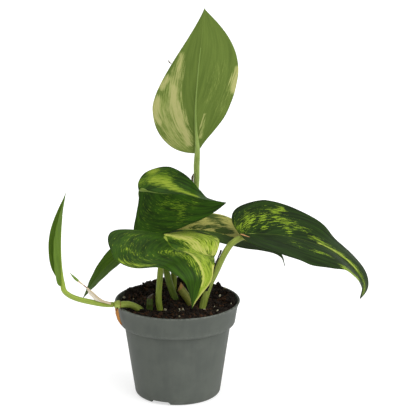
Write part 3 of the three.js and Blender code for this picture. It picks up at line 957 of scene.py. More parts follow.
@dataclass
class Leaf(Part):
    """A blade with its stalk, which runs on under the blade as a raised midrib."""

    name: str
    midrib: Points
    up: tuple[float, float, float]
    turn: tuple[float, ...]
    right: HalfShape
    left: HalfShape
    petiole: Points
    petiole_radius: tuple[float, float]
    top: LeafFinish
    under: LeafFinish
    stalk: StalkFinish
    right_marks: tuple[Patch, ...] = ()
    left_marks: tuple[Patch, ...] = ()
    rust: float = 0.0
    slot: str = "leaf_green"
    seed: int = 1
    along: int = 150
    across: int = 34
    fan: float = 1.7
    sweep: float = 0.45
    curl_breadth: float = 0.35
    ease: float = 0.1
    vein_lean: float = 0.72
    veins: float = 13.0
    thickness: float = 0.52
    rib_shares: tuple[float, ...] = (0.04, 0.16, 0.3, 0.45, 0.6, 0.74)
    rib_radii: tuple[float, ...] = (0.82, 0.5, 0.32, 0.24, 0.19, 0.13)
    rib_sink: float = 0.02
    samples: int = 97
    spine: dict[str, Array] = field(default_factory=dict)
    length: float = 0.0

    def __post_init__(self) -> None:
        """Carries the frame along the midrib.

        Formula: the up direction is carried along, turned about the midrib and averaged with its neighbours
        under a triangular weight.
        """
        points, self.length = spaced(curve_through(self.midrib, 1200), self.samples)
        tangent = unit(np.gradient(points, axis=0))
        normal = carried(tangent, np.asarray(self.up))
        turn = np.radians(smooth_value(self.turn, np.linspace(0, 1, self.samples)))[:, None]
        normal = normal * np.cos(turn) + np.cross(tangent, normal) * np.sin(turn)
        reach = round(self.ease * (self.samples - 1))
        weight = reach + 1.0 - np.abs(np.arange(-reach, reach + 1))
        near = np.clip(np.arange(self.samples)[:, None] + np.arange(-reach, reach + 1), 0, self.samples - 1)
        tangent = unit((tangent[near] * weight[None, :, None]).sum(1))
        normal = (normal[near] * weight[None, :, None]).sum(1)
        normal = unit(normal - (normal * tangent).sum(1, keepdims=True) * tangent)
        self.spine = {"point": points, "tangent": tangent, "normal": normal}

    @property
    def finishes(self) -> tuple[Finish, ...]:
        """The finishes of both faces and the stalk."""
        return self.top, self.under, self.stalk

    def frame_at(self, share: Array) -> dict[str, Array]:
        """The midrib's frame.

        Args:
            share: shares of the midrib's length.

        Returns:
            The point, tangent, normal and side at each of them.
        """
        x = np.linspace(0.0, 1.0, self.samples)
        at = {k: np.stack([np.interp(share, x, c) for c in v.T], -1) for k, v in self.spine.items()}
        tangent, normal = unit(at["tangent"]), unit(at["normal"])
        return {**at, "tangent": tangent, "normal": normal, "side": np.cross(tangent, normal)}

    def bend(self, x: Array, y: Array) -> Array:
        """Flat places taken into space.

        Formula: each place hangs on the midrib where a line leaning towards the tip from it meets the midrib.
        From there it goes out along an arc that starts at the fold's angle and curls evenly.

        Args:
            x: mm along the midrib.
            y: mm to the right of it.

        Returns:
            The points.
        """
        out = np.abs(y)
        foot = x - self.sweep * out
        share = np.clip(foot / self.length, 0.0, 1.0)
        at = self.frame_at(share)
        right = y >= 0
        halves = (self.right, self.left)
        fold = np.radians(np.where(right, *(smooth_value(half.fold, share) for half in halves)))
        curl = np.radians(np.where(right, *(smooth_value(half.curl, share) for half in halves)))
        curl = curl / (self.curl_breadth * self.length)
        curl = np.where(np.abs(curl) < 1e-7, 1e-7, curl)
        across = (np.sin(fold + curl * out) - np.sin(fold)) / curl
        rise = (np.cos(fold) - np.cos(fold + curl * out)) / curl
        ahead = np.minimum(foot, 0.0) + self.sweep * out
        sign = np.where(right, 1.0, -1.0)
        return (at["point"] + at["tangent"] * ahead[..., None] + at["side"] * (sign * across)[..., None]
                + at["normal"] * rise[..., None])

    def lay_half(self, shape: HalfShape, sign: float) -> dict[str, Array]:
        """One half as a grid from the midrib out to its margin.

        Formula: row s starts on the midrib at s to the power 1.7 of its length and ends on the outline at s.

        Args:
            shape: the half's outline and bend.
            sign: 1 for the right half, -1 for the left.

        Returns:
            The grid's s, v, flat x and y in mm, middle surface, its normals and the place along the veins.
        """
        s = np.linspace(0.0, 1.0, self.along + 1)[:, None]
        v = np.linspace(0.0, 1.0, self.across + 1)[None, :] ** 0.9
        edge = shape.outline(self.along + 1) * self.length
        x = s**self.fan * self.length * (1 - v) + edge[:, :1] * v
        y = sign * edge[:, 1:] * v
        step = 0.05
        across = self.bend(x, y + step) - self.bend(x, y - step)
        normal = unit(np.cross(across, self.bend(x + step, y) - self.bend(x - step, y)))
        vein = s - self.vein_lean * v * (0.75 + 0.25 * v)
        s, v = np.broadcast_arrays(s, v)
        return {"s": s, "v": v, "x": x, "y": y, "middle": self.bend(x, y), "normal": normal, "vein": vein}

    def flat_places(self, grid: dict[str, Array], along: Array, out: Array) -> Array:
        """Where places lie on the flat half, read off its grid evenly between the four points round each.

        Args:
            grid: the half's grid.
            along: their places along the outline.
            out: their places from the midrib to the margin.

        Returns:
            Their mm along the midrib and out from it.
        """
        row = np.interp(along, grid["s"][:, 0], np.arange(self.along + 1))
        column = np.interp(out, grid["v"][0], np.arange(self.across + 1))
        i, j = np.minimum(row.astype(int), self.along - 1), np.minimum(column.astype(int), self.across - 1)
        a, b = (row - i)[:, None], (column - j)[:, None]
        flat = np.stack([grid["x"], np.abs(grid["y"])], -1)
        near = flat[i, j] * (1 - b) + flat[i, j + 1] * b
        far = flat[i + 1, j] * (1 - b) + flat[i + 1, j + 1] * b
        return near * (1 - a) + far * a

    def marks_on(self, grid: dict[str, Array], patches: tuple[Patch, ...]) -> dict[str, Array]:
        """Each mark's strength over a half: 1 in the middle of a patch, falling evenly to 0 at its breadth.

        Args:
            grid: the half's grid.
            patches: its patches.

        Returns:
            The strength at each point of the grid, by mark.
        """
        marks = {mark.value: np.zeros(grid["s"].shape) for mark in Mark}
        flat = np.stack([grid["x"], np.abs(grid["y"])], -1)
        for patch in patches:
            line, out, breadth = np.array(patch.line if len(patch.line) > 1 else patch.line * 2, float).T
            points = self.flat_places(grid, line, out)
            for a, b, wide_a, wide_b in zip(points[:-1], points[1:], breadth[:-1], breadth[1:]):
                along = b - a
                t = np.clip(((flat - a) @ along) / max(along @ along, 1e-9), 0.0, 1.0)
                away = np.linalg.norm(flat - a - t[..., None] * along, axis=-1)
                value = patch.strength * np.clip(1.0 - away / (wide_a + (wide_b - wide_a) * t), 0.0, 1.0)
                marks[patch.mark.value] = np.maximum(marks[patch.mark.value], value)
        return marks

    def add_half(self, skin: Skin, shape: HalfShape, sign: float, patches: tuple[Patch, ...]) -> None:
        """Adds one half of the blade: both faces and its thin rounded margin.

        Formula: each face lies half the thickness off the middle surface. A groove along the midrib, a soft
        rise between the side veins and slow waves move both faces alike.

        Args:
            skin: what it is added to.
            shape: the half's outline and bend.
            sign: 1 for the right half, -1 for the left.
            patches: its patches.
        """
        grid = self.lay_half(shape, sign)
        s, v, vein, out = grid["s"], grid["v"], grid["vein"], np.abs(grid["y"])
        drift = 0.45 * lattice_noise(vein * 40, v * 10, 9.0, self.seed)
        lobes = 0.5 - 0.5 * np.cos(2 * np.pi * (self.veins * vein + drift))
        calm = np.clip(out / 4.0, 0.0, 1.0) * smooth_step(0.0, 0.1, 1.0 - s) * smooth_step(0.0, 0.06, s)
        relief = 0.045 * (np.sqrt(lobes) - 0.7) * calm * (1.0 - 0.5 * v)
        relief = relief + 0.15 * lattice_noise(grid["x"], grid["y"], 14.0, self.seed + 5) * calm
        relief = relief - 0.06 * bell(out, 0.0, 0.7) * smooth_step(0.0, 0.08, 1.0 - s)
        relief = relief + 0.12 * np.sin(2 * np.pi * (7.0 * s + 0.3 * self.seed)) * v**6 * calm
        half = 0.5 * self.thickness * (1.0 - 0.55 * v**4)
        faces = tuple(grid["middle"] + grid["normal"] * (relief + side * half)[..., None] for side in (1, -1))
        places = np.stack([vein, sign * (0.02 + v)], -1)
        add_sheet(skin, faces, places, (0, 1), ALL_EDGES[1:2], **self.marks_on(grid, patches))

    def add_stalk(self, skin: Skin) -> None:
        """Adds the petiole and the midrib under the blade.

        Formula: the radius runs evenly from the foot to the blade and falls off quickly under it. Above, a
        groove between two low wings follows the stalk, and a slight swelling sits where it meets the blade.

        Args:
            skin: what they are added to.
        """
        base, top = self.petiole_radius
        rib = self.frame_at(np.array(self.rib_shares))
        rib_radius = top * np.array(self.rib_radii)
        under = rib["point"] + rib["normal"] * (self.rib_sink - rib_radius)[:, None]
        points = np.vstack([np.array(self.petiole, float), under])
        samples = curve_through(points, 100 * (len(points) - 1) + 1)
        run = np.r_[0.0, np.cumsum(np.linalg.norm(np.diff(samples, axis=0), axis=1))]
        knots = run[::100] / run[-1]
        joint = knots[len(self.petiole)]
        radii = np.r_[base + (top - base) * knots[: len(self.petiole)] / joint, rib_radius]
        path = Path.through(points, 200, rib["normal"][-1], from_end=True)
        u, angle = steps(200, 25)
        from_top = np.angle(np.exp(1j * (angle - np.pi / 2)))
        free = smooth_step(0.02, 0.1, joint - u)
        groove = -0.24 * bell(from_top, 0.0, 0.42) * free
        wings = 0.13 * bell(np.abs(from_top), 0.75, 0.25) * free * smooth_step(0.0, 0.3, u)
        swelling = 0.12 * bell(u, joint - 0.03, 0.035)
        uneven = 0.035 * lattice_noise(u * path.length, np.cos(angle) * 3, 5.0, self.seed + 9)
        profile = np.interp(u, knots, radii) * (1.0 + groove + wings + swelling + uneven)
        rust = self.rust * bell(u, joint - 0.02, 0.03) + 0.35 * bell(u, 0.0, 0.05)
        dark = 0.4 * bell(u, 0.0, 0.1) + smooth_step(-0.02, 0.12, u - joint)
        add_tube(skin, path, profile, 2, dark=dark, rust=rust)

    def add_to(self, skin: Skin) -> None:
        """Adds both halves and the stalk.

        Args:
            skin: what they are added to.
        """
        self.add_half(skin, self.right, 1.0, self.right_marks)
        self.add_half(skin, self.left, -1.0, self.left_marks)
        self.add_stalk(skin)


def leaves() -> list[Leaf]:
    """The seven leaves, with the marks of each.

    Returns:
        The leaves, ready to build.
    """
    stalk = StalkFinish("petiole", light=(144, 160, 58), shade=(98, 118, 32))
    green_stalk = StalkFinish("green_petiole", light=(112, 132, 44), shade=(74, 96, 22))
    under = LeafFinish("blade_underside", deep=(58, 78, 34), green=(76, 98, 46), bright=(132, 148, 76),
                       pale=(184, 184, 128), line=0.06, softness=0.08, coat=0.02)
    crown = Leaf(
        "leaf_crown",
        midrib=((14.5, 29, 171), (13, 21.5, 200.5), (14.5, 15, 227), (17, 10, 252.5), (19.5, 6, 279.5)),
        up=(-0.03, 0.95, 0.2), turn=(2, 0),
        right=HalfShape(0.275, 0.31, 0.005, 0.16, 0.135, 0.87, 0.03, (10, 8.5), (6, 6)),
        left=HalfShape(0.27, 0.53, -0.14, 0.32, 0.27, 0.95, 0.035, (12, 8.5), (7, 6)),
        petiole=((-5.5, 24, 54), (-4, 28, 67), (-3, 35, 77.5), (0.5, 41, 91), (6, 44, 107.5), (11, 43, 129),
                 (13.5, 38, 146), (13.8, 33, 161)),
        petiole_radius=(2.7, 2.1),
        top=LeafFinish("crown_top", deep=(62, 88, 26), green=(80, 108, 36)),
        under=LeafFinish("crown_underside", deep=(84, 103, 42), green=(97, 116, 50), bright=(138, 152, 78),
                         pale=(174, 172, 112), line=0.04, rib=0.3, softness=0.13, coat=0.02),
        stalk=StalkFinish("pale_petiole", light=(152, 170, 92), shade=(110, 132, 58)),
        seed=3, slot="leaf_pale",
        right_marks=(
            cream((0.2, 0.25, 4), (0.3, 0.26, 5.5), (0.36, 0.37, 7), (0.46, 0.5, 7.5), (0.55, 0.66, 5),
                  strength=1.15),
            cream((0.55, 0.66, 6), (0.66, 0.76, 6), (0.72, 0.85, 4), strength=0.6),
            cream((0.44, 0.92, 5), (0.35, 0.95, 5.5), (0.33, 0.85, 4), strength=1.05),
            cream((0.57, 0.9, 4), (0.52, 0.95, 4), strength=0.9),
            cream((0.2, 0.7, 12), (0.3, 0.6, 12), (0.4, 0.75, 10), strength=0.5),
            flecks((0.1, 0.5, 16), (0.25, 0.6, 18), (0.4, 0.8, 16), (0.55, 0.75, 10), strength=1.3),
            shade((0.62, 0.98, 2.5), (0.7, 0.98, 2.5), strength=0.7),
        ),
        left_marks=(
            cream((0.43, 0.98, 3.5), (0.5, 0.93, 6), (0.58, 0.98, 3)),
            cream((0.25, 0.14, 2), (0.34, 0.16, 2.6), (0.42, 0.24, 1.6), strength=0.5),
            flecks((0.5, 0.3, 9), (0.65, 0.6, 12), strength=0.75),
            flecks((0.35, 0.7, 10), (0.5, 0.85, 10), strength=0.9),
        ),
    )
    upper = Leaf(
        "leaf_upper",
        midrib=((-29, 40.5, 142), (-12, 21, 143.5), (3.5, 10, 145), (18, 3, 143.5), (35, -2.5, 142.5)),
        up=(0.08, -0.42, 0.91), turn=(7.5, -2, -8.5),
        right=HalfShape(0.425, 0.22, -0.09, 0.16, 0.41, 0.97, 0.05, (-42, -52, -51), (6, -2)),
        left=HalfShape(0.335, 0.305, 0.13, 0.335, 0.275, 0.86, 0.04, (16, -9, -18), (-7, -13)),
        petiole=((3, -1, 54), (-0.5, 4, 66), (-5, 9, 76.5), (-9, 15, 89), (-16, 27, 105), (-22, 39, 122),
                 (-26.5, 43, 134.5)),
        petiole_radius=(2.5, 2.1),
        top=LeafFinish("upper_top", deep=(20, 39, 5), green=(40, 70, 8), bright=(110, 138, 30),
                       pale=(136, 152, 48), rib=0.0, softness=0.11),
        under=under, stalk=green_stalk, seed=4,
        right_marks=(
            flecks((0.57, 0.25, 12), strength=0.95),
            flecks((0.8, 0.25, 9), strength=0.95),
            flecks((0.64, 0.3, 8), (0.7, 0.42, 10), (0.67, 0.62, 8), strength=1.1),
            flecks((0.66, 0.7, 22), strength=0.75),
            flecks((0.4, 0.5, 40), strength=0.6),
        ),
        left_marks=(
            cream((0.28, 0.45, 6), (0.4, 0.45, 7.5), (0.52, 0.4, 5), (0.66, 0.32, 4), (0.8, 0.3, 3),
                  strength=0.75),
            cream((0.2, 0.85, 5), (0.25, 0.8, 5), strength=0.65),
            flecks((0.12, 0.5, 14), (0.25, 0.6, 16), (0.4, 0.6, 12), strength=1.3),
            flecks((0.5, 0.5, 9), (0.75, 0.35, 6)),
        ),
    )
    front = Leaf(
        "leaf_front",
        midrib=((-9.5, -1.5, 118.9), (-2.5, -23, 115), (11.5, -45, 115), (18, -58, 105), (11, -63.5, 84)),
        up=(0.27, -0.29, 0.9), turn=(1.5, -5, -11),
        right=HalfShape(0.47, 0.24, 0.225, 0.69, 0.24, 0.9, 0.03, (-10, -16, -8), (-2, -14)),
        left=HalfShape(0.42, 0.13, 0.055, 0.29, 0.12, 0.8, 0.02, (7.5, -4.5, -4), (-2, -10)),
        petiole=((-11.5, -16, 54), (-12, -15.5, 65.5), (-13, -14.5, 74), (-12, -11, 91.5), (-10.5, -8, 103.5),
                 (-9, -4.5, 112.5)),
        petiole_radius=(2.3, 2.1),
        top=LeafFinish("front_top", deep=(25, 45, 6), green=(44, 74, 9), bright=(144, 166, 46),
                       pale=(170, 170, 92), rib=0.15, softness=0.1),
        under=under, stalk=stalk, seed=5,
        right_marks=(
            flecks((0.25, 0.6, 24), (0.4, 0.75, 28), (0.55, 0.6, 22), strength=0.65),
            flecks((0.43, 0.72, 8), (0.5, 0.6, 7), strength=0.95),
            flecks((0.55, 0.95, 9), (0.62, 0.85, 9), strength=1.2),
            flecks((0.5, 0.14, 12), (0.66, 0.12, 10), (0.82, 0.12, 7), strength=1.1),
        ),
        left_marks=(
            cream((0.1, 0.15, 3), (0.2, 0.3, 6), (0.3, 0.45, 8.5), (0.42, 0.6, 9.5), (0.52, 0.75, 6),
                  strength=0.78),
            cream((0.33, 0.97, 3), (0.42, 0.97, 4), (0.5, 0.95, 3.5), strength=0.5),
            cream((0.54, 0.16, 2), (0.66, 0.12, 3.2), (0.76, 0.1, 3.2), (0.88, 0.12, 2), strength=0.85),
            cream((0.72, 0.98, 2), (0.9, 0.95, 2.4), (0.98, 0.8, 2), strength=0.95),
            flecks((0.12, 0.6, 18), (0.28, 0.8, 22), (0.42, 0.85, 18), strength=1.5),
            flecks((0.5, 0.4, 20), (0.62, 0.55, 22), (0.75, 0.5, 16), (0.9, 0.5, 10), strength=1.5),
            shade((0.2, 0.97, 2), (0.3, 0.97, 2), strength=0.8),
        ),
    )
    back = Leaf(
        "leaf_back",
        midrib=((0.5, 22, 115.5), (13, 22, 115.5), (26, 21.5, 114), (40, 21.5, 110), (56, 21.5, 105),
                (69, 21, 100), (75.5, 21, 95), (78, 21, 88.5)),
        up=(0, -0.03, 0.99), turn=(-1, -7),
        right=HalfShape(0.185, 0.38, 0.28, 0.3, 0.3, 0.85, 0.02, (-9, -3), (-8, -7)),
        left=HalfShape(0.24, 0.36, 0.17, 0.06, 0.3, 0.86, 0.02, (28, 26), (-9, -7.5)),
        petiole=((-3.5, 17, 54), (-3.5, 20, 67.5), (-3, 22.5, 73.5), (-2.5, 25, 86), (1, 26, 95.5),
                 (5, 25, 106)),
        petiole_radius=(2.2, 1.8),
        top=LeafFinish("back_top", deep=(38, 60, 10), green=(54, 78, 16), bright=(108, 124, 40),
                       pale=(156, 152, 82), rib=0.4),
        under=under, stalk=stalk, seed=6,
        right_marks=(
            flecks((0.35, 0.4, 8), (0.6, 0.4, 8), strength=0.4),
        ),
        left_marks=(
            cream((0.0, 0.5, 16), (0.2, 0.4, 24), (0.4, 0.45, 24), (0.6, 0.4, 17), (0.7, 0.3, 8),
                  strength=1.7),
            shade((0.2, 0.8, 6), (0.27, 0.68, 9), (0.34, 0.55, 7), strength=0.85),
            shade((0.42, 0.85, 7), (0.48, 0.65, 9), (0.52, 0.5, 7), strength=0.85),
            shade((0.12, 0.6, 6), (0.2, 0.42, 6), strength=0.8),
            shade((0.52, 0.1, 4), (0.56, 0.2, 6), (0.6, 0.3, 4), strength=1.3),
            shade((0.3, 0.1, 4), (0.42, 0.2, 5), (0.5, 0.3, 4), strength=0.9),
            shade((0.62, 0.75, 4), (0.66, 0.6, 4), strength=0.8),
        ),
    )
    right = Leaf(
        "leaf_right",
        midrib=((44.5, -4, 120), (58.5, -4.5, 120), (76.5, -4.5, 118.5), (95, -5.5, 114), (113, -5, 105),
                (125.5, -6, 94), (132, -7.5, 83), (130.5, -8.5, 73)),
        up=(0, -0.05, 0.96), turn=(0, -0.5, -7.5, 9),
        right=HalfShape(0.335, 0.385, -0.02, 0.2, 0.25, 0.82, 0.015, (7.5, -4, 1), (-16, -18)),
        left=HalfShape(0.35, 0.27, 0.085, 0.4, 0.48, 0.98, 0.08, (25, 15.5, 10.5, 14, 14), (-7, -14.5)),
        petiole=((16.5, -12.5, 54), (18, -9.5, 67), (20, -9, 75), (23, -8.2, 84), (26.5, -7.7, 91),
                 (30, -7.1, 98.5), (34, -6.3, 106.5), (39, -5.5, 113.5)),
        petiole_radius=(3, 2.1),
        top=LeafFinish("right_top", deep=(14, 28, 4), green=(29, 51, 7), bright=(124, 150, 34),
                       pale=(180, 186, 88), rib=0.12, softness=0.02),
        under=under, stalk=StalkFinish("speckled_petiole", light=(140, 154, 66), shade=(104, 122, 38)),
        seed=7, rust=0.3,
        right_marks=(
            flecks((0.58, 0.42, 8), (0.68, 0.5, 7), strength=1.15),
            flecks((0.72, 0.92, 8), (0.8, 0.95, 9), (0.88, 0.9, 7), strength=1.6),
            flecks((0.5, 0.3, 24), strength=0.7),
            rust((0.05, 0.25, 2), (0.11, 0.33, 1.6), (0.17, 0.42, 1), strength=1.1),
        ),
        left_marks=(
            flecks((0.12, 0.3, 18), (0.25, 0.5, 25), (0.4, 0.5, 24), (0.54, 0.4, 14), strength=1.12),
            flecks((0.22, 0.3, 7), (0.27, 0.5, 8), strength=1.45),
            flecks((0.34, 0.2, 7), strength=1.35),
            flecks((0.38, 0.7, 8), (0.42, 0.82, 7), strength=1.4),
            flecks((0.47, 0.28, 7), (0.5, 0.12, 6), strength=1.35),
            cream((0.66, 0.14, 2), (0.76, 0.18, 2.6), (0.87, 0.25, 2), strength=0.62),
            flecks((0.62, 0.25, 10), (0.9, 0.35, 9), (0.97, 0.5, 6), strength=1.2),
        ),
    )
    low = Leaf(
        "leaf_low",
        midrib=((-23, 18.5, 111.5), (-37, 20.5, 101.5), (-50.5, 23, 89), (-62, 26.5, 74.5),
                (-70.5, 31.5, 60)),
        up=(-0.53, -0.53, 0.62), turn=(6, 4),
        right=HalfShape(0.155, 0.33, 0.12, 0.25, 0.28, 0.88, 0.025, (5, 5.5), (6.5, 6.5)),
        left=HalfShape(0.165, 0.35, 0.12, 0.25, 0.32, 0.89, 0.025, (11, 10), (9, 9)),
        petiole=((1, 8, 54), (-1.5, 12.5, 66.5), (-4.5, 17, 74), (-9.5, 23.5, 87), (-16, 27, 96),
                 (-21.5, 23.5, 104)),
        petiole_radius=(2.1, 1.7),
        top=LeafFinish("low_top", deep=(42, 66, 6), green=(58, 84, 10), rib=0.2),
        under=under, stalk=stalk, seed=8,
        right_marks=(
            flecks((0.4, 0.5, 5), (0.7, 0.5, 5), strength=0.4),
        ),
        left_marks=(
            flecks((0.4, 0.6, 5), strength=0.35),
        ),
    )
    young = Leaf(
        "leaf_young",
        midrib=((-81.5, -22, 87), (-82, -19, 104), (-81.5, -18, 123), (-79.5, -20, 140.5), (-77, -22, 154.5)),
        up=(-0.75, -0.65, 0.05), turn=(0,),
        right=HalfShape(0.14, 0.38, 0, 0.25, 0.3, 0.86, 0.02, (62,), (12,)),
        left=HalfShape(0.12, 0.42, -0.1, 0.25, 0.22, 0.86, 0.025, (52,), (30,)),
        petiole=((-45, -22, 73.2), (-50.9, -22, 73.4), (-61.3, -22.5, 75.5), (-70, -22.7, 77.8),
                 (-76, -22.5, 80.5), (-79.5, -22.2, 84)),
        petiole_radius=(2, 1.7),
        top=LeafFinish("young_top", deep=(66, 93, 22), green=(86, 114, 34), bright=(130, 152, 60), rib=0.1),
        under=LeafFinish("young_underside", deep=(80, 106, 36), green=(96, 122, 46), bright=(130, 150, 70),
                         line=0.05, softness=0.08, coat=0.06),
        stalk=StalkFinish("young_petiole", light=(146, 164, 62), shade=(116, 138, 44)),
        seed=9, slot="leaf_pale",
        left_marks=(
            flecks((0.2, 0.4, 6), (0.4, 0.5, 6), strength=0.5),
        ),
    )
    return [crown, upper, front, back, right, low, young]


# Pot


def spun(radius: Array, z: Array, turn: Array) -> Array:
    """A section spun about the middle: point = (radius · cos turn, radius · sin turn, height)."""
    return joined(radius * np.cos(turn), radius * np.sin(turn), z)


@dataclass
class NurseryPot:
    """A thin tapered pot with a deep rim band, on a ring foot with notches and drain holes."""

    top_radius: float = 45.0
    height: float = 70.0
    foot_radius: float = 30.6
    foot_rounding: float = 3.0
    wall: float = 1.2
    body_top_radius: float = 38.3
    band_bottom: float = 55.0
    band_top_radius: float = 43.3
    band_bottom_radius: float = 41.7
    band_undercut: float = 2.7
    band_edge: tuple[tuple[float, float], ...] = ((-1.1, -1.75), (-0.5, -1.35), (-0.08, -0.6), (0.0, 0.0))
    lip_bottom: float = 65.0
    lip_rounding: float = 0.5
    rim_flatness: float = 0.7
    channel_inner: float = 17.0
    channel_outer: float = 27.0
    channel_height: float = 3.0
    channel_slope: float = 1.0
    inside_rounding: float = 1.2
    notch_angles: tuple[float, ...] = (-114.0, 66.0)
    notch_width: float = 15.0
    notch_height: float = 2.6
    notch_corner: float = 1.0
    notch_from: float = 24.0
    notch_to: float = 33.0
    drain_angles: tuple[float, ...] = (-54.0, 66.0, 186.0)
    drain_ring: float = 22.0
    drain_radius: float = 3.2
    drain_from: float = -6.0
    drain_to: float = 8.0
    # the breadth of the painted highlight rings, in mm
    highlight_breadth: float = 0.8
    # how far up the outside the foot darkens, in mm
    darkened_to: float = 10.0
    crease: float = 32.0
    columns: int = 256

    @property
    def body_top(self) -> float:
        """The height where the plain wall ends and the slope out to the band starts."""
        return self.band_bottom - self.band_undercut

    @property
    def floor_top(self) -> float:
        """The height of the inside over the raised channel."""
        return self.channel_height + self.wall

    def outer(self, z: Array | float) -> Array:
        """The outer radius: straight between the foot, the band's ends and the lip.

        Args:
            z: the height.

        Returns:
            The radius at that height.
        """
        bottom = self.band_bottom
        heights = [0.0, self.body_top, bottom - 1e-6, bottom, self.lip_bottom, self.height]
        radii = [self.foot_radius, self.body_top_radius, self.band_bottom_radius, self.band_bottom_radius,
                 self.band_top_radius, self.top_radius]
        return np.interp(z, heights, radii)

    def inner(self, z: Array | float) -> Array:
        """The inner radius at a height, one wall inside the outer."""
        return self.outer(z) - self.wall

    def up_wall(self, low: float, high: float, count: int) -> Array:
        """Places up the outer wall, evenly spaced from one height to another, (count, 2)."""
        z = np.linspace(low, high, count)
        return np.stack([self.outer(z), z], 1)

    def profile(self) -> Array:
        """The pot's section, from the middle of the underside round to the middle of the inside.

        Returns:
            The radius and height of each place, (n, 2).
        """
        start, end, slope = self.channel_inner, self.channel_outer, self.channel_slope
        underside = [(0, 0), (start - 0.3, 0), (start, 0.1), (start + slope, self.channel_height),
                     (end - slope, self.channel_height), (end, 0)]
        turn = np.radians(np.linspace(0, 80, 9))
        middle = self.outer(self.foot_rounding) - self.foot_rounding
        foot = self.foot_rounding * np.stack([np.sin(turn), 1 - np.cos(turn)], 1) + np.array([middle, 0.0])
        wall = self.up_wall(self.foot_rounding, self.body_top, 26)
        slope_foot = [(self.body_top_radius + 0.5, self.body_top + 0.25)]
        edge = np.array([self.band_bottom_radius, self.band_bottom]) + np.array(self.band_edge)
        band = self.up_wall(self.band_bottom + 1, self.lip_bottom - 0.8, 6)
        lip_foot = [(self.outer(self.lip_bottom) + 0.02, self.lip_bottom - 0.2),
                    (self.outer(self.lip_bottom + 0.6), self.lip_bottom + 0.6)]
        lip = self.up_wall(self.lip_bottom + 1.6, self.height - 1.6, 3)
        turn = np.radians(np.linspace(0, 180, 9))
        half = (self.wall + self.lip_rounding) / 2
        rise = half * self.rim_flatness
        rim = np.stack([self.top_radius - half + half * np.cos(turn),
                        self.height - rise + rise * np.sin(turn)], 1)
        floor, rounding = self.floor_top, self.inside_rounding
        inside = [(self.inner(self.lip_bottom), self.lip_bottom),
                  (self.band_bottom_radius - self.wall, self.band_bottom + 0.01),
                  (self.inner(self.body_top), self.body_top),
                  (self.inner(floor + rounding), floor + rounding), (self.inner(floor) - rounding, floor),
                  (start, floor), (start - slope, self.wall), (0, self.wall)]
        return np.vstack([underside, foot, wall, slope_foot, edge, band, lip_foot, lip, rim, inside])

    def cutters(self) -> list[bpy.types.Object]:
        """The shapes that the notches and drain holes take out of the foot.

        Formula: a notch's section is drawn out from radius to radius and a hole's circle from height to
        height. Both close in their middle and are turned about the pot to their angles.

        Returns:
            A closed shape for each notch and hole.
        """
        side, rise, corner = self.notch_width / 2, self.notch_height, self.notch_corner
        section = np.array([(-side, -rise), (side, -rise), (side, rise - corner), (side - corner, rise),
                            (corner - side, rise), (-side, rise - corner), (-side, -rise)])
        out = np.array([[self.notch_from], [self.notch_from], [self.notch_to], [self.notch_to]])
        wide = np.array([[0.0], [1.0], [1.0], [0.0]])
        lifted = section[:, 1] * wide - rise * (1 - wide)
        notch = joined(out, section[:, 0] * wide, lifted)
        level = np.array([[self.drain_from], [self.drain_from], [self.drain_to], [self.drain_to]])
        hole = spun(self.drain_radius * wide, level, steps(2, 33)[1]) + np.array([self.drain_ring, 0.0, 0.0])
        shapes = [notch] * len(self.notch_angles) + [hole] * len(self.drain_angles)
        made = []
        for number, (rows, angle) in enumerate(zip(shapes, self.notch_angles + self.drain_angles)):
            cos, sin = math.cos(math.radians(angle)), math.sin(math.radians(angle))
            skin = Skin()
            skin.add_grid(rows @ np.array([[cos, sin, 0], [-sin, cos, 0], [0, 0, 1]]), rows[..., :2] * 0)
            made.append(skin.make(f"cutter_{number}", []))
        return made

    def carve(self, pot: bpy.types.Object) -> None:
        """Takes the notches and drain holes out of the pot, and marks its creases sharp.

        Args:
            pot: the spun pot, whose mesh is replaced.
        """
        cutters = self.cutters()
        for cutter in cutters:
            cut = pot.modifiers.new(cutter.name, "BOOLEAN")
            cut.object = cutter
            cut.operation = "DIFFERENCE"
            cut.solver = "EXACT"
        bpy.context.view_layer.update()
        carved = bpy.data.meshes.new_from_object(pot.evaluated_get(bpy.context.evaluated_depsgraph_get()))
        pot.modifiers.clear()
        pot.data = carved
        for cutter in cutters:
            bpy.data.objects.remove(cutter)
        carved.polygons.foreach_set("use_smooth", np.ones(len(carved.polygons), bool))
        carved.set_sharp_from_angle(angle=math.radians(self.crease))

    def build(self, effects: Effects) -> list[bpy.types.Object]:
        """The finished pot: its section spun about the middle, less the notches and holes.

        The lip's top and the band's bottom edge get a painted highlight. The foot is darker, and the inside
        has stain and painted shade.

        Args:
            effects: the shared effects.

        Returns:
            The pot.
        """
        profile = self.profile()
        turn = np.linspace(0.0, 2 * np.pi, self.columns + 1)
        rows = spun(profile[:, :1], profile[:, 1:], turn)
        z = rows[..., 2]
        outside = profile[:, :1] > self.inner(z) + 0.5 * self.wall
        # painted highlight along the lip's top and, fainter, the band's bottom edge
        edge_highlight = bell(z, self.height, self.highlight_breadth) + 0.3 * bell(z, self.band_bottom, self.highlight_breadth)
        # outside, darker towards the foot; inside, fully darkened with peat stain and painted shade
        stain_and_shade = np.where(outside, 0.25 * smooth_step(self.darkened_to, 0.0, z), 1.0)
        places = joined(turn / (2 * np.pi), z)
        skin = Skin()
        skin.add_grid(rows, places, 0, fleck=edge_highlight, dark=stain_and_shade)
        pot = skin.make("pot_fine", [PlasticFinish("grey_plastic").make(effects)])
        self.carve(pot)
        return [settle(pot, "pot_plastic", "pot")]


# Peat


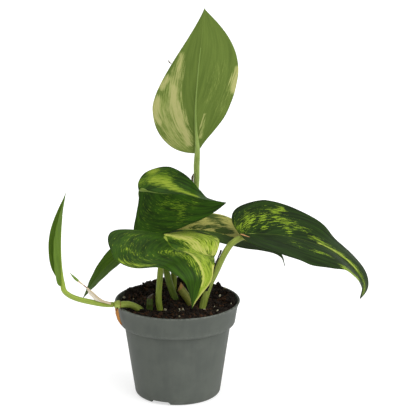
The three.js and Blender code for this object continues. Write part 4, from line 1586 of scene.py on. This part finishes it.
@dataclass
class Peat:
    """The potting mix: a crumbly top with bark, fibres and perlite, and a plain body under it.

    lumps and spots give places in mm. Each lump also has its height and spread.
    """

    pot: NurseryPot
    level: float = 66.5
    gap: float = 0.3
    bank: float = 6.0
    lumps: tuple[tuple[float, ...], ...] = ((6, 24, 3.2, 22), (-30, 24, -1.6, 16))
    clods: int = 46
    clod_turn: float = 137.508
    domes: int = 520
    dome_size: tuple[float, float] = (0.8, 2.6)
    dome_height: float = 0.62
    sink: float = 0.75
    reach: float = 41.0
    rings: int = 120
    columns: int = 330
    crumbs: int = 1500
    crumb_size: tuple[float, float] = (0.3, 1.4)
    perlite: int = 26
    perlite_size: tuple[float, float] = (0.5, 1.25)
    spots: tuple[tuple[float, float], ...] = ((-39, 12.8), (4.2, -14.7), (19.2, -14.7), (30.7, 12.8),
                                              (39, -7.5), (-19.5, -5.7))
    fibres: int = 170
    fibre_length: tuple[float, float] = (3.0, 10.0)
    fibre_radius: tuple[float, float] = (0.07, 0.16)
    seed: int = 21

    def base_height(self, x: Array, y: Array) -> Array:
        """The plain top: level, heaped behind the stems, sunk at the left rear and knobbly.

        Formula: the level plus one round bell for the heap, one for the sunken place and one for each clod.

        Args:
            x: places to the right.
            y: their depth.

        Returns:
            The height at each.
        """
        k = np.arange(self.clods)
        out = self.pot.inner(self.level) * np.sqrt((k + 0.5) / self.clods)
        turn = np.radians(self.clod_turn * k)
        clods = np.stack([out * np.cos(turn), out * np.sin(turn), 0.66 + 0.44 * np.sin(1.7 * k),
                          3 + 2.2 * np.sin(2.4 * k)], 1)
        z = np.full(np.shape(x), self.level)
        for cx, cy, height, spread in [*self.lumps, *clods]:
            z = z + height * bell(np.hypot(x - cx, y - cy), 0.0, spread)
        return z

    def top_height(self, x: Array, y: Array) -> Array:
        """The crumbly top: the plain top, banked up at the rear and right, finer noise and hundreds of clods.

        Formula: the highest of the domes h · sqrt(1 - (d / r)²) at each place, plus noise at three sizes.

        Args:
            x: places to the right.
            y: their depth.

        Returns:
            The height at each.
        """
        z = self.base_height(x, y)
        rear = smooth_step(4.0, 20.0, y) * smooth_step(-44.0, -35.0, x)
        rear = rear * (1.0 - 0.35 * smooth_step(12.0, 28.0, x))
        banked = np.maximum(rear, 0.5 * smooth_step(20.0, 36.0, x))
        z = z + self.bank * smooth_step(29.0, 41.0, np.hypot(x, y)) * banked
        for height, size, seed in ((0.5, 4.2, 31), (0.35, 1.9, 32), (0.22, 0.9, 33)):
            z = z + height * lattice_noise(x, y, size, seed)
        rng = np.random.default_rng(self.seed)
        turn = rng.uniform(0, 2 * np.pi, self.domes)
        out = self.reach * np.sqrt(rng.uniform(0, 1, self.domes))
        radii = rng.uniform(*self.dome_size, self.domes)
        dome = np.zeros_like(z)
        for cx, cy, radius in zip(out * np.cos(turn), out * np.sin(turn), radii):
            inside = 1.0 - ((x - cx) ** 2 + (y - cy) ** 2) / radius**2
            dome = np.maximum(dome, self.dome_height * radius * np.sqrt(np.maximum(inside, 0.0)))
        return z + dome - self.sink

    def build(self, effects: Effects) -> list[bpy.types.Object]:
        """The body, crumbs, perlite and fibres.

        Args:
            effects: the shared effects.

        Returns:
            The four pieces.
        """
        pot, gap = self.pot, 2 * self.gap
        turn = np.linspace(0.0, 2 * np.pi, self.columns + 1)
        edge = pot.inner(self.level - 2.0) - self.gap
        radius = edge * np.linspace(0.0, 1.0, self.rings + 1)[:, None] ** 0.8
        x, y = radius * np.cos(turn), radius * np.sin(turn)
        height = self.top_height(x, y)
        height[:, -1] = height[:, 0]
        floor, low = pot.floor_top + self.gap, pot.wall + self.gap
        lower = np.array([(pot.inner(pot.band_bottom) - gap, pot.band_bottom),
                          (pot.inner(pot.body_top) - gap, pot.body_top),
                          (pot.inner(floor) - gap - 0.8, floor), (pot.channel_inner - gap, floor),
                          (pot.channel_inner - pot.channel_slope - gap, low), (0.0, low)])
        rows = np.vstack([np.stack([x, y, height], -1), spun(lower[:, :1], lower[:, 1:], turn)])
        skin = Skin()
        skin.add_grid(rows, rows[..., :2] * 0.1)
        earth = EarthFinish("peat_mix")
        bark = EarthFinish("bark", dark=(44, 28, 18), light=(92, 60, 36), accent=(124, 84, 50), size=500)
        pale = EarthFinish("perlite", dark=(150, 140, 112), light=(212, 206, 184), accent=(226, 222, 206),
                           size=900, roughness=0.9)
        body = settle(skin.make("peat_fine", [earth.make(effects)]), "peat", "peat")
        rng = np.random.default_rng(self.seed + 1)
        mixed = [earth.make(effects), bark.make(effects)]
        crumbs = self.scatter("peat_crumbs", rng, self.crumbs, self.crumb_size, mixed, ())
        white = [pale.make(effects)]
        grains = self.scatter("perlite", rng, self.perlite, self.perlite_size, white, self.spots)
        return [body, crumbs, grains, self.lay_fibres(rng, effects)]

    def scatter(self, name: str, rng: np.random.Generator, count: int, sizes: tuple[float, float],
                finishes: list[bpy.types.Material], spots: tuple[object, ...]) -> bpy.types.Object:
        """Loose lumps on the top.

        Formula: a small ball with its points pushed in and out at random, stretched, turned and laid down.

        Args:
            name: the piece's name.
            rng: the source of the random draws.
            count: how many.
            sizes: the smallest and largest radius in mm.
            finishes: their materials.
            spots: places that always get a large lump.

        Returns:
            The piece.
        """
        around, upward = 6, 5
        rise = np.linspace(0, np.pi, upward)[:, None]
        ball = spun(np.sin(rise), np.cos(rise), steps(2, around + 1)[1])
        out = np.sqrt(rng.uniform(0.01, 0.99, count)) * self.reach
        heading = rng.uniform(0, 2 * np.pi, count)
        at = np.stack([out * np.cos(heading), out * np.sin(heading)], 1)
        radius = rng.uniform(*sizes, count) ** 1.4
        at[: len(spots)] = np.reshape(spots, (-1, 2))
        radius[: len(spots)] = sizes[1] * 0.9
        radius = np.minimum(radius, np.maximum(0.2, self.reach + 1.0 - np.linalg.norm(at, axis=1)))
        centres = np.column_stack([at, self.top_height(*at.T) + 0.3 * radius])
        skin = Skin()
        for k in range(count):
            bumps = 1.0 + rng.uniform(-0.28, 0.28, (upward, around + 1))
            bumps[:, -1] = bumps[:, 0]
            bumps[0], bumps[-1] = bumps[0, 0], bumps[-1, 0]
            spin, _ = np.linalg.qr(rng.normal(size=(3, 3)))
            stretch = rng.uniform(0.6, 1.25, 3)
            lump = (ball * bumps[..., None] * stretch) @ spin * radius[k] + centres[k]
            tone = 0.9 * rng.uniform(0, 1)
            finish = int(rng.integers(0, 5) == 0) if len(finishes) > 1 else 0
            skin.add_grid(lump, lump[..., :2] * 0, finish, dark=tone)
        return settle(skin.make(name, finishes), "peat")

    def lay_fibres(self, rng: np.random.Generator, effects: Effects) -> bpy.types.Object:
        """Thin reddish root fibres lying over the top, each a three-sided thread on a gentle bend.

        Formula: a straight line plus a share of t² sideways, with t from -0.5 to 0.5 along it.

        Args:
            rng: the source of the random draws.
            effects: the shared effects.

        Returns:
            The fibres as one piece.
        """
        skin = Skin()
        t = np.linspace(-0.5, 0.5, 6)
        for _ in range(self.fibres):
            length = rng.uniform(*self.fibre_length)
            out = math.sqrt(rng.uniform()) * (self.reach - 3.0)
            heading = rng.uniform(0, 2 * np.pi)
            bearing = rng.uniform(0, np.pi)
            x = out * math.cos(heading) + length * t * math.cos(bearing) + 6 * rng.uniform(-1, 1) * t**2
            y = out * math.sin(heading) + length * t * math.sin(bearing) + 6 * rng.uniform(-1, 1) * t**2
            kept_in = np.minimum(1, self.reach / np.hypot(x, y))
            x, y = x * kept_in, y * kept_in
            z = self.top_height(x, y)
            z = 0.5 * z + 0.5 * z.max() + 0.15 + rng.uniform(0, 0.8) * t**2
            points = np.stack([x, y, z], 1)
            tangent = unit(np.gradient(points, axis=0))
            normal = carried(tangent, UP)
            path = Path(points, tangent, normal, np.cross(tangent, normal), length)
            radius = np.full((6, 4), rng.uniform(*self.fibre_radius))
            add_tube(skin, path, radius, dark=rng.uniform(0, 1))
        finish = StalkFinish("root_fibre", light=(126, 84, 52), shade=(62, 40, 26), brown=(90, 58, 36),
                             roughness=0.8)
        return settle(skin.make("peat_fibres", [finish.make(effects)]), "peat")


# Stems and sheaths


def tapered(start: float, end: float, stations: int, turns: int) -> Array:
    """A round tube's radius at each station and turn, running evenly from start to end."""
    return np.repeat(np.linspace(start, end, stations)[:, None], turns, 1)


@dataclass
class Stem(Part):
    """A stem along a path, with an uneven skin, rings at its nodes and, if slanted, a brown cut face."""

    name: str
    path: Points
    radius: tuple[float, ...]
    finishes: tuple[StalkFinish, ...]
    slot: str = "stem"
    nodes: tuple[float, ...] = ()
    node_swelling: float = 0.12
    unevenness: float = 0.04
    slant: float = 0.0
    browned: float = 3.0
    level_rise: float = 15.0
    seed: int = 1
    stations: int = 120
    turns: int = 25

    def add_to(self, skin: Skin) -> None:
        """Adds the stem.

        Formula: the radius through the given ones, times one plus soft ridges, noise and a ring at each node.

        Args:
            skin: what it is added to.
        """
        level = abs(self.path[0][2] - self.path[-1][2]) < self.level_rise
        way = Path.through(self.path, self.stations, UP if level else FRONT + 0.2 * UP)
        u, angle = steps(self.stations, self.turns)
        ridges = 0.6 * np.cos(3 * angle + 4 * u)
        noise = lattice_noise(u * way.length, 2.5 * np.cos(angle), 2.6, self.seed)
        uneven = self.unevenness * (noise + ridges)
        rust = np.zeros_like(u)
        for node in self.nodes:
            uneven = uneven + self.node_swelling * bell(u, node, 1.1 / way.length)
            rust = rust + 0.5 * bell(u, node, 0.7 / way.length)
        if self.slant:
            rust = rust + smooth_step(1.0 - self.browned / way.length, 1.0, u)
        radius = smooth_value(self.radius, u) * (1.0 + uneven)
        add_tube(skin, way, radius, slant=self.slant, rust=rust, dark=0.2)


@dataclass
class Runner(Stem):
    """The trailing stem over the rim, with the swollen node that the young leaf grows from."""

    knob_at: tuple[float, float, float] = (-41.5, -21.4, 73.2)
    knob_radius: float = 2.9
    knob_length: float = 3.0
    nubs: tuple[Points, ...] = (((-41.8, -23.6, 71.6), (-42.4, -24.4, 70.4), (-42.6, -24.6, 69.4)),
                                ((-39.4, -23.2, 71.2), (-39.2, -24.0, 70.3), (-39.0, -24.3, 69.6)))

    def add_to(self, skin: Skin) -> None:
        """Adds the stem with its knob, a lumpy ball with two brown rings, and the dark root nubs under it.

        Args:
            skin: what they are added to.
        """
        super().add_to(skin)
        turn = np.linspace(0, 2 * np.pi, 33)
        rise = np.linspace(0, np.pi, 21)[:, None]
        lumpy = 1.0 + 0.05 * lattice_noise(4 * np.cos(turn)[None] + 9, 4 * rise, 1.2, 51)
        lumpy[:, -1] = lumpy[:, 0]
        lumpy[[0, -1]] = 1.0
        ball = spun(self.knob_radius * np.sin(rise), self.knob_length * np.cos(rise), turn)
        ball = np.roll(ball, 1, -1) * lumpy[..., None] + np.array(self.knob_at)
        places = joined(turn / (2 * np.pi), rise * 3)
        skin.add_grid(ball, places, 0, rust=0.7 * bell(np.abs(np.cos(rise)), 0.55, 0.12))
        for points in self.nubs:
            add_tube(skin, Path.through(points, 12, FRONT), tapered(0.5, 0.16, 12, 13), 1)


def stems() -> list[Stem]:
    """The runner, the cut stem and the stub.

    Returns:
        The stems, ready to build.
    """
    skin = StalkFinish("runner_skin", light=(164, 178, 84), shade=(128, 144, 54))
    nub = StalkFinish("root_nub", light=(60, 52, 38), shade=(24, 22, 18), brown=(40, 30, 20), roughness=0.85)
    cut = StalkFinish("cut_stem_skin", light=(134, 134, 58), shade=(92, 98, 34), brown=(148, 112, 56))
    stub = StalkFinish("stub_skin", light=(72, 92, 30), shade=(42, 58, 15), brown=(62, 52, 28))
    path = ((-22, -8, 60), (-27, -14, 67.2), (-33, -17.2, 71.4), (-39.5, -20.7, 73), (-43.8, -22, 73.2))
    return [Runner("runner_stem", path, (2.4, 2.4), (skin, nub), seed=11),
            Stem("cut_stem", ((13, -2, 56), (10.3, -3.4, 67), (1.5, -2, 80)), (3, 2.9), (cut,), nodes=(0.45,),
                 slant=0.75, seed=12),
            Stem("stem_stub", ((-19.6, -16.5, 57), (-19.6, -15.5, 67), (-19, -15.2, 77.5)), (2.4, 2.2),
                 (stub,), nodes=(0.7,), slant=0.75, seed=13)]


@dataclass
class Shoot(Part):
    """The new shoot: a thin stalk with a green pointed bud, half wrapped in a papery sheath."""

    name: str = "new_shoot"
    slot: str = "shoot_membrane"
    finishes: tuple[StalkFinish, ...] = (
        StalkFinish("shoot_stalk", light=(206, 190, 160), shade=(176, 156, 118), brown=(136, 96, 62)),
        StalkFinish("shoot_bud", light=(112, 140, 46), shade=(66, 98, 22), brown=(70, 84, 30),
                    roughness=0.38),
        StalkFinish("papery_sheath", light=(214, 207, 190), shade=(184, 172, 148), brown=(158, 126, 98),
                    roughness=0.5))
    path: Points = ((-46.5, -24.8, 75), (-52, -24.3, 76.5), (-56, -24, 79.5), (-60.5, -24, 84),
                    (-67, -24, 89.5), (-71.5, -24, 93.5), (-75, -24, 97.5))
    radius: tuple[float, ...] = (0.9, 0.8, 0.6, 0.5, 0.45, 0.95, 0.12)
    stations: int = 160
    bud_from: int = 124
    sheath_from: int = 8
    sheath_to: int = 96
    sheath_depth: float = 2.9
    sheath_curl: float = 0.9
    sheath_offset: float = 0.35
    sheath_half: float = 0.12
    hanging: tuple[float, float, float] = (-0.62, 0.0, -0.78)

    def add_sheath(self, skin: Skin, way: Path) -> None:
        """Adds the papery sheath.

        Formula: a strip that hangs from the stalk, deepest a third of the way up, and curls back under it.
        Its two faces lie a quarter of a millimetre apart.

        Args:
            skin: what it is added to.
            way: the stalk's path.
        """
        across = np.linspace(0.0, 1.0, 14)[None]
        t = np.linspace(0.0, 1.0, self.sheath_to - self.sheath_from)[:, None]
        depth = self.sheath_depth * np.sin(np.pi * t**1.2) * (1 + 0.08 * np.sin(19 * t))
        back = self.sheath_curl * np.sin(2.6 * across) * t**0.2
        hang = np.array(self.hanging) * (depth * across)[..., None] - FRONT * back[..., None]
        sheet = way.points[self.sheath_from : self.sheath_to][:, None] + FRONT * self.sheath_offset + hang
        swell = np.sin(np.pi * np.clip(across, 0.02, 0.98))[..., None] ** 0.3
        thick = FRONT * self.sheath_half * swell
        places = joined(across * 0.6, t * 30)
        add_sheet(skin, (sheet + thick, sheet - thick), places, (2, 2))

    def add_to(self, skin: Skin) -> None:
        """Adds the stalk, the bud with a brown ring where it starts, and the sheath.

        Args:
            skin: what they are added to.
        """
        way = Path.through(self.path, self.stations, FRONT)
        u, angle = steps(self.stations, 17)
        radius = smooth_value(self.radius, u) * (1.0 + 0.05 * np.cos(3 * angle + 5 * u))
        for finish, rows in enumerate((slice(0, self.bud_from), slice(self.bud_from - 1, self.stations))):
            add_tube(skin, way.cut(rows), radius[rows], finish, rust=0.8 * bell(u[rows], 0.6, 0.05))
        self.add_sheath(skin, way)


@dataclass
class BlackSheath(Part):
    """A dead strand that stands against the right stalk, frayed, with a blob at its top.

    threads gives where each loose thread starts along it and how far it bends aside.
    """

    name: str = "black_sheath"
    slot: str = "dried_sheath"
    finishes: tuple[StalkFinish, ...] = (
        StalkFinish("dead_sheath", light=(30, 24, 18), shade=(9, 7, 5), brown=(66, 46, 30), roughness=0.85,
                    depth=0.2),)
    path: Points = ((20.8, -12, 80.5), (22.7, -11.8, 86), (24.4, -11.3, 92), (26.3, -10.9, 97.5),
                    (28.2, -10.4, 102), (31.4, -9.7, 109.5))
    radius: tuple[float, ...] = (0.9, 1.05, 0.9, 0.95, 0.7, 0.5, 0.45, 0.8)
    threads: tuple[tuple[float, float], ...] = ((0.35, 1.0), (0.62, -0.8))
    thread_length: float = 5.0
    stations: int = 150

    def add_to(self, skin: Skin) -> None:
        """Adds a wrinkled tube whose radius pinches and swells, and two loose threads.

        Args:
            skin: what they are added to.
        """
        way = Path.through(self.path, self.stations, FRONT)
        u, angle = steps(self.stations, 17)
        wrinkles = 0.22 * lattice_noise(u * 30, 3 * np.cos(angle), 1.4, 61)
        radius = smooth_value(self.radius, u) * (1 + wrinkles + 0.12 * np.cos(5 * angle + 9 * u))
        add_tube(skin, way, radius)
        t = np.linspace(0, 1, 20)[:, None]
        for start, aside in self.threads:
            k = int(start * (self.stations - 1))
            thread = way.points[k] + way.tangent[k] * self.thread_length * t
            thread = thread + way.side[k] * aside * (0.5 * t + 1.2 * t**2) - way.normal[k] * 0.2 * t
            add_tube(skin, Path.through(thread, 20, FRONT), tapered(0.22, 0.06, 20, 7))


@dataclass
class BrownSheath(Part):
    """A dry leaf base that hangs over the pot's rim: a thin ribbed strip with curled edges."""

    name: str = "brown_sheath"
    slot: str = "brown_sheath"
    finishes: tuple[StalkFinish, ...] = (
        StalkFinish("dry_sheath", light=(186, 128, 62), shade=(146, 94, 40), brown=(104, 64, 32),
                    roughness=0.6, depth=0.2),)
    path: Points = ((-42.6, -18.6, 69.9), (-42.1, -19.4, 66), (-40.9, -20.2, 61.5), (-38.9, -21, 57.6))
    width: tuple[float, ...] = (3.4, 3.6, 3.0, 1.2)
    outward: tuple[float, float, float] = (-0.68, -0.73, 0.0)
    lift: float = 0.5
    curl: float = 0.2
    half: float = 0.16

    def add_to(self, skin: Skin) -> None:
        """Adds the strip.

        Formula: point = path + side · across + outward · (ribs - curl · across²), on two faces that meet in a
        thin edge.

        Args:
            skin: what it is added to.
        """
        way = Path.through(self.path, 70, np.array(self.outward))
        side, normal = way.side[:, None], way.normal[:, None]
        u = np.linspace(0.0, 1.0, 70)[:, None]
        across = np.linspace(-1.0, 1.0, 29)[None]
        reach = smooth_value(self.width, u) / 2 * (1 + 0.07 * np.sin(23 * u)) * across
        ribs = 0.05 * np.cos(13 * across) + 0.06 * lattice_noise(u * 14, across * 3, 0.8, 71)
        lift = ribs - self.curl * across**2 + self.lift
        middle = way.points[:, None] + side * reach[..., None] + normal * lift[..., None]
        thin = (self.half * (1 - 0.8 * across**4))[..., None] * normal
        places = joined(0.5 + across * 0.35, u * way.length)
        edge_tone = 0.5 * (np.abs(across) ** 3 + u**3)
        add_sheet(skin, (middle + thin, middle - thin), places, (0, 0), rust=edge_tone)


@dataclass
class Remnants(Part):
    """Small dry bits on the crown leaf: a hook on its margin and a scrap of sheath on its stalk."""

    name: str = "dry_remnants"
    slot: str = "dried_sheath"
    extra: bool = True
    finishes: tuple[StalkFinish, ...] = (
        StalkFinish("dry_scrap", light=(96, 84, 56), shade=(52, 46, 30), brown=(74, 56, 36), roughness=0.8),)
    hook: Points = ((-3.6, 18.2, 238.2), (-4.8, 18.0, 239.0), (-5.6, 18.0, 240.2), (-5.4, 18.0, 241.2))
    hook_radius: float = 0.32
    scrap: Points = ((10.9, 35.2, 147.5), (10.7, 34.9, 150), (10.9, 34.2, 152.6), (11.3, 33.6, 154.4))
    scrap_radius: float = 0.6

    def add_to(self, skin: Skin) -> None:
        """Adds the two bits, each thickest in its middle.

        Args:
            skin: what they are added to.
        """
        u, angle = steps(30, 11)
        swell = (0.35 + np.sin(np.pi * np.clip(u, 0.05, 0.9))) * (1 + 0.15 * np.cos(3 * angle + 6 * u))
        for points, radius in ((self.hook, self.hook_radius), (self.scrap, self.scrap_radius)):
            add_tube(skin, Path.through(points, 30, FRONT), radius * swell, rust=0.4)


# Studio


@dataclass(frozen=True)
class Lamp:
    """A soft lamp far away: its power, its spread, its height above the floor and its turn, in degrees."""

    name: str
    power: float
    spread: float
    elevation: float
    azimuth: float


@dataclass
class Studio:
    """A pale floor, soft light all round and the camera at the photograph's angle."""

    eye: tuple[float, float, float] = (22.0, -1200.0, 464.0)
    pitch: float = 15.2
    lens: float = 151.79
    sensor: float = 36.0
    view_end: float = 50.0
    floor_size: float = 12.0
    floor_tone: float = 0.5
    floor_glow: float = 0.6
    floor_roughness: float = 0.7
    surround: float = 0.5
    lamps: tuple[Lamp, ...] = (Lamp("top", 1.6, 110.0, 82.0, 20.0), Lamp("key", 2.0, 60.0, 45.0, 54.0))

    def place_camera(self) -> None:
        """A long lens that looks slightly down."""
        lens = bpy.data.cameras.new("camera")
        lens.lens = self.lens
        lens.sensor_width = self.sensor
        lens.clip_end = self.view_end
        camera = placed("camera", lens)
        camera.location = [c * MM for c in self.eye]
        camera.rotation_euler = (math.radians(90.0 - self.pitch), 0.0, 0.0)
        bpy.context.scene.camera = camera

    def light(self) -> None:
        """A white surround and two broad soft lamps, above and at the upper right in front."""
        scene = bpy.context.scene
        scene.view_settings.view_transform = "Standard"
        world = bpy.data.worlds.new("surround")
        scene.world = world
        world.use_nodes = True
        backdrop = world.node_tree.nodes["Background"]
        backdrop.inputs["Color"].default_value = (1.0, 1.0, 1.0, 1.0)
        backdrop.inputs["Strength"].default_value = self.surround
        for lamp in self.lamps:
            sun = bpy.data.lights.new(lamp.name, "SUN")
            sun.energy = lamp.power
            sun.angle = math.radians(lamp.spread)
            turned = (math.radians(90.0 - lamp.elevation), 0.0, math.radians(lamp.azimuth))
            placed(lamp.name, sun).rotation_euler = turned

    def lay_floor(self) -> None:
        """A plain white floor under the pot, faintly lit from below like a light table."""
        half = self.floor_size / 2
        corner = [(-half, -half, 0), (half, -half, 0), (half, half, 0), (-half, half, 0)]
        mesh = bpy.data.meshes.new("floor")
        mesh.from_pydata(corner, [], [(0, 1, 2, 3)])
        material = bpy.data.materials.new("floor_white")
        material.use_nodes = True
        shader = material.node_tree.nodes["Principled BSDF"]
        shader.inputs["Base Color"].default_value = (self.floor_tone, self.floor_tone, self.floor_tone, 1.0)
        shader.inputs["Emission Color"].default_value = (1.0, 1.0, 1.0, 1.0)
        shader.inputs["Emission Strength"].default_value = self.floor_glow
        shader.inputs["Roughness"].default_value = self.floor_roughness
        mesh.materials.append(material)
        floor = placed("floor", mesh)


def main() -> None:
    """Builds the camera, the pieces and the studio in order."""
    logging.basicConfig(level=logging.INFO, format="%(message)s")
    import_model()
    studio = Studio()
    studio.place_camera()
    effects = Effects()
    pot = NurseryPot()
    parts = [pot, Peat(pot), *leaves(), *stems(), Shoot(), BlackSheath(), BrownSheath(), Remnants()]
    for part in parts:
        for piece in part.build(effects):
            log.info("%s: %d faces", piece.name, len(piece.data.polygons))
    studio.lay_floor()
    studio.light()


if __name__ == "__main__":
    main()
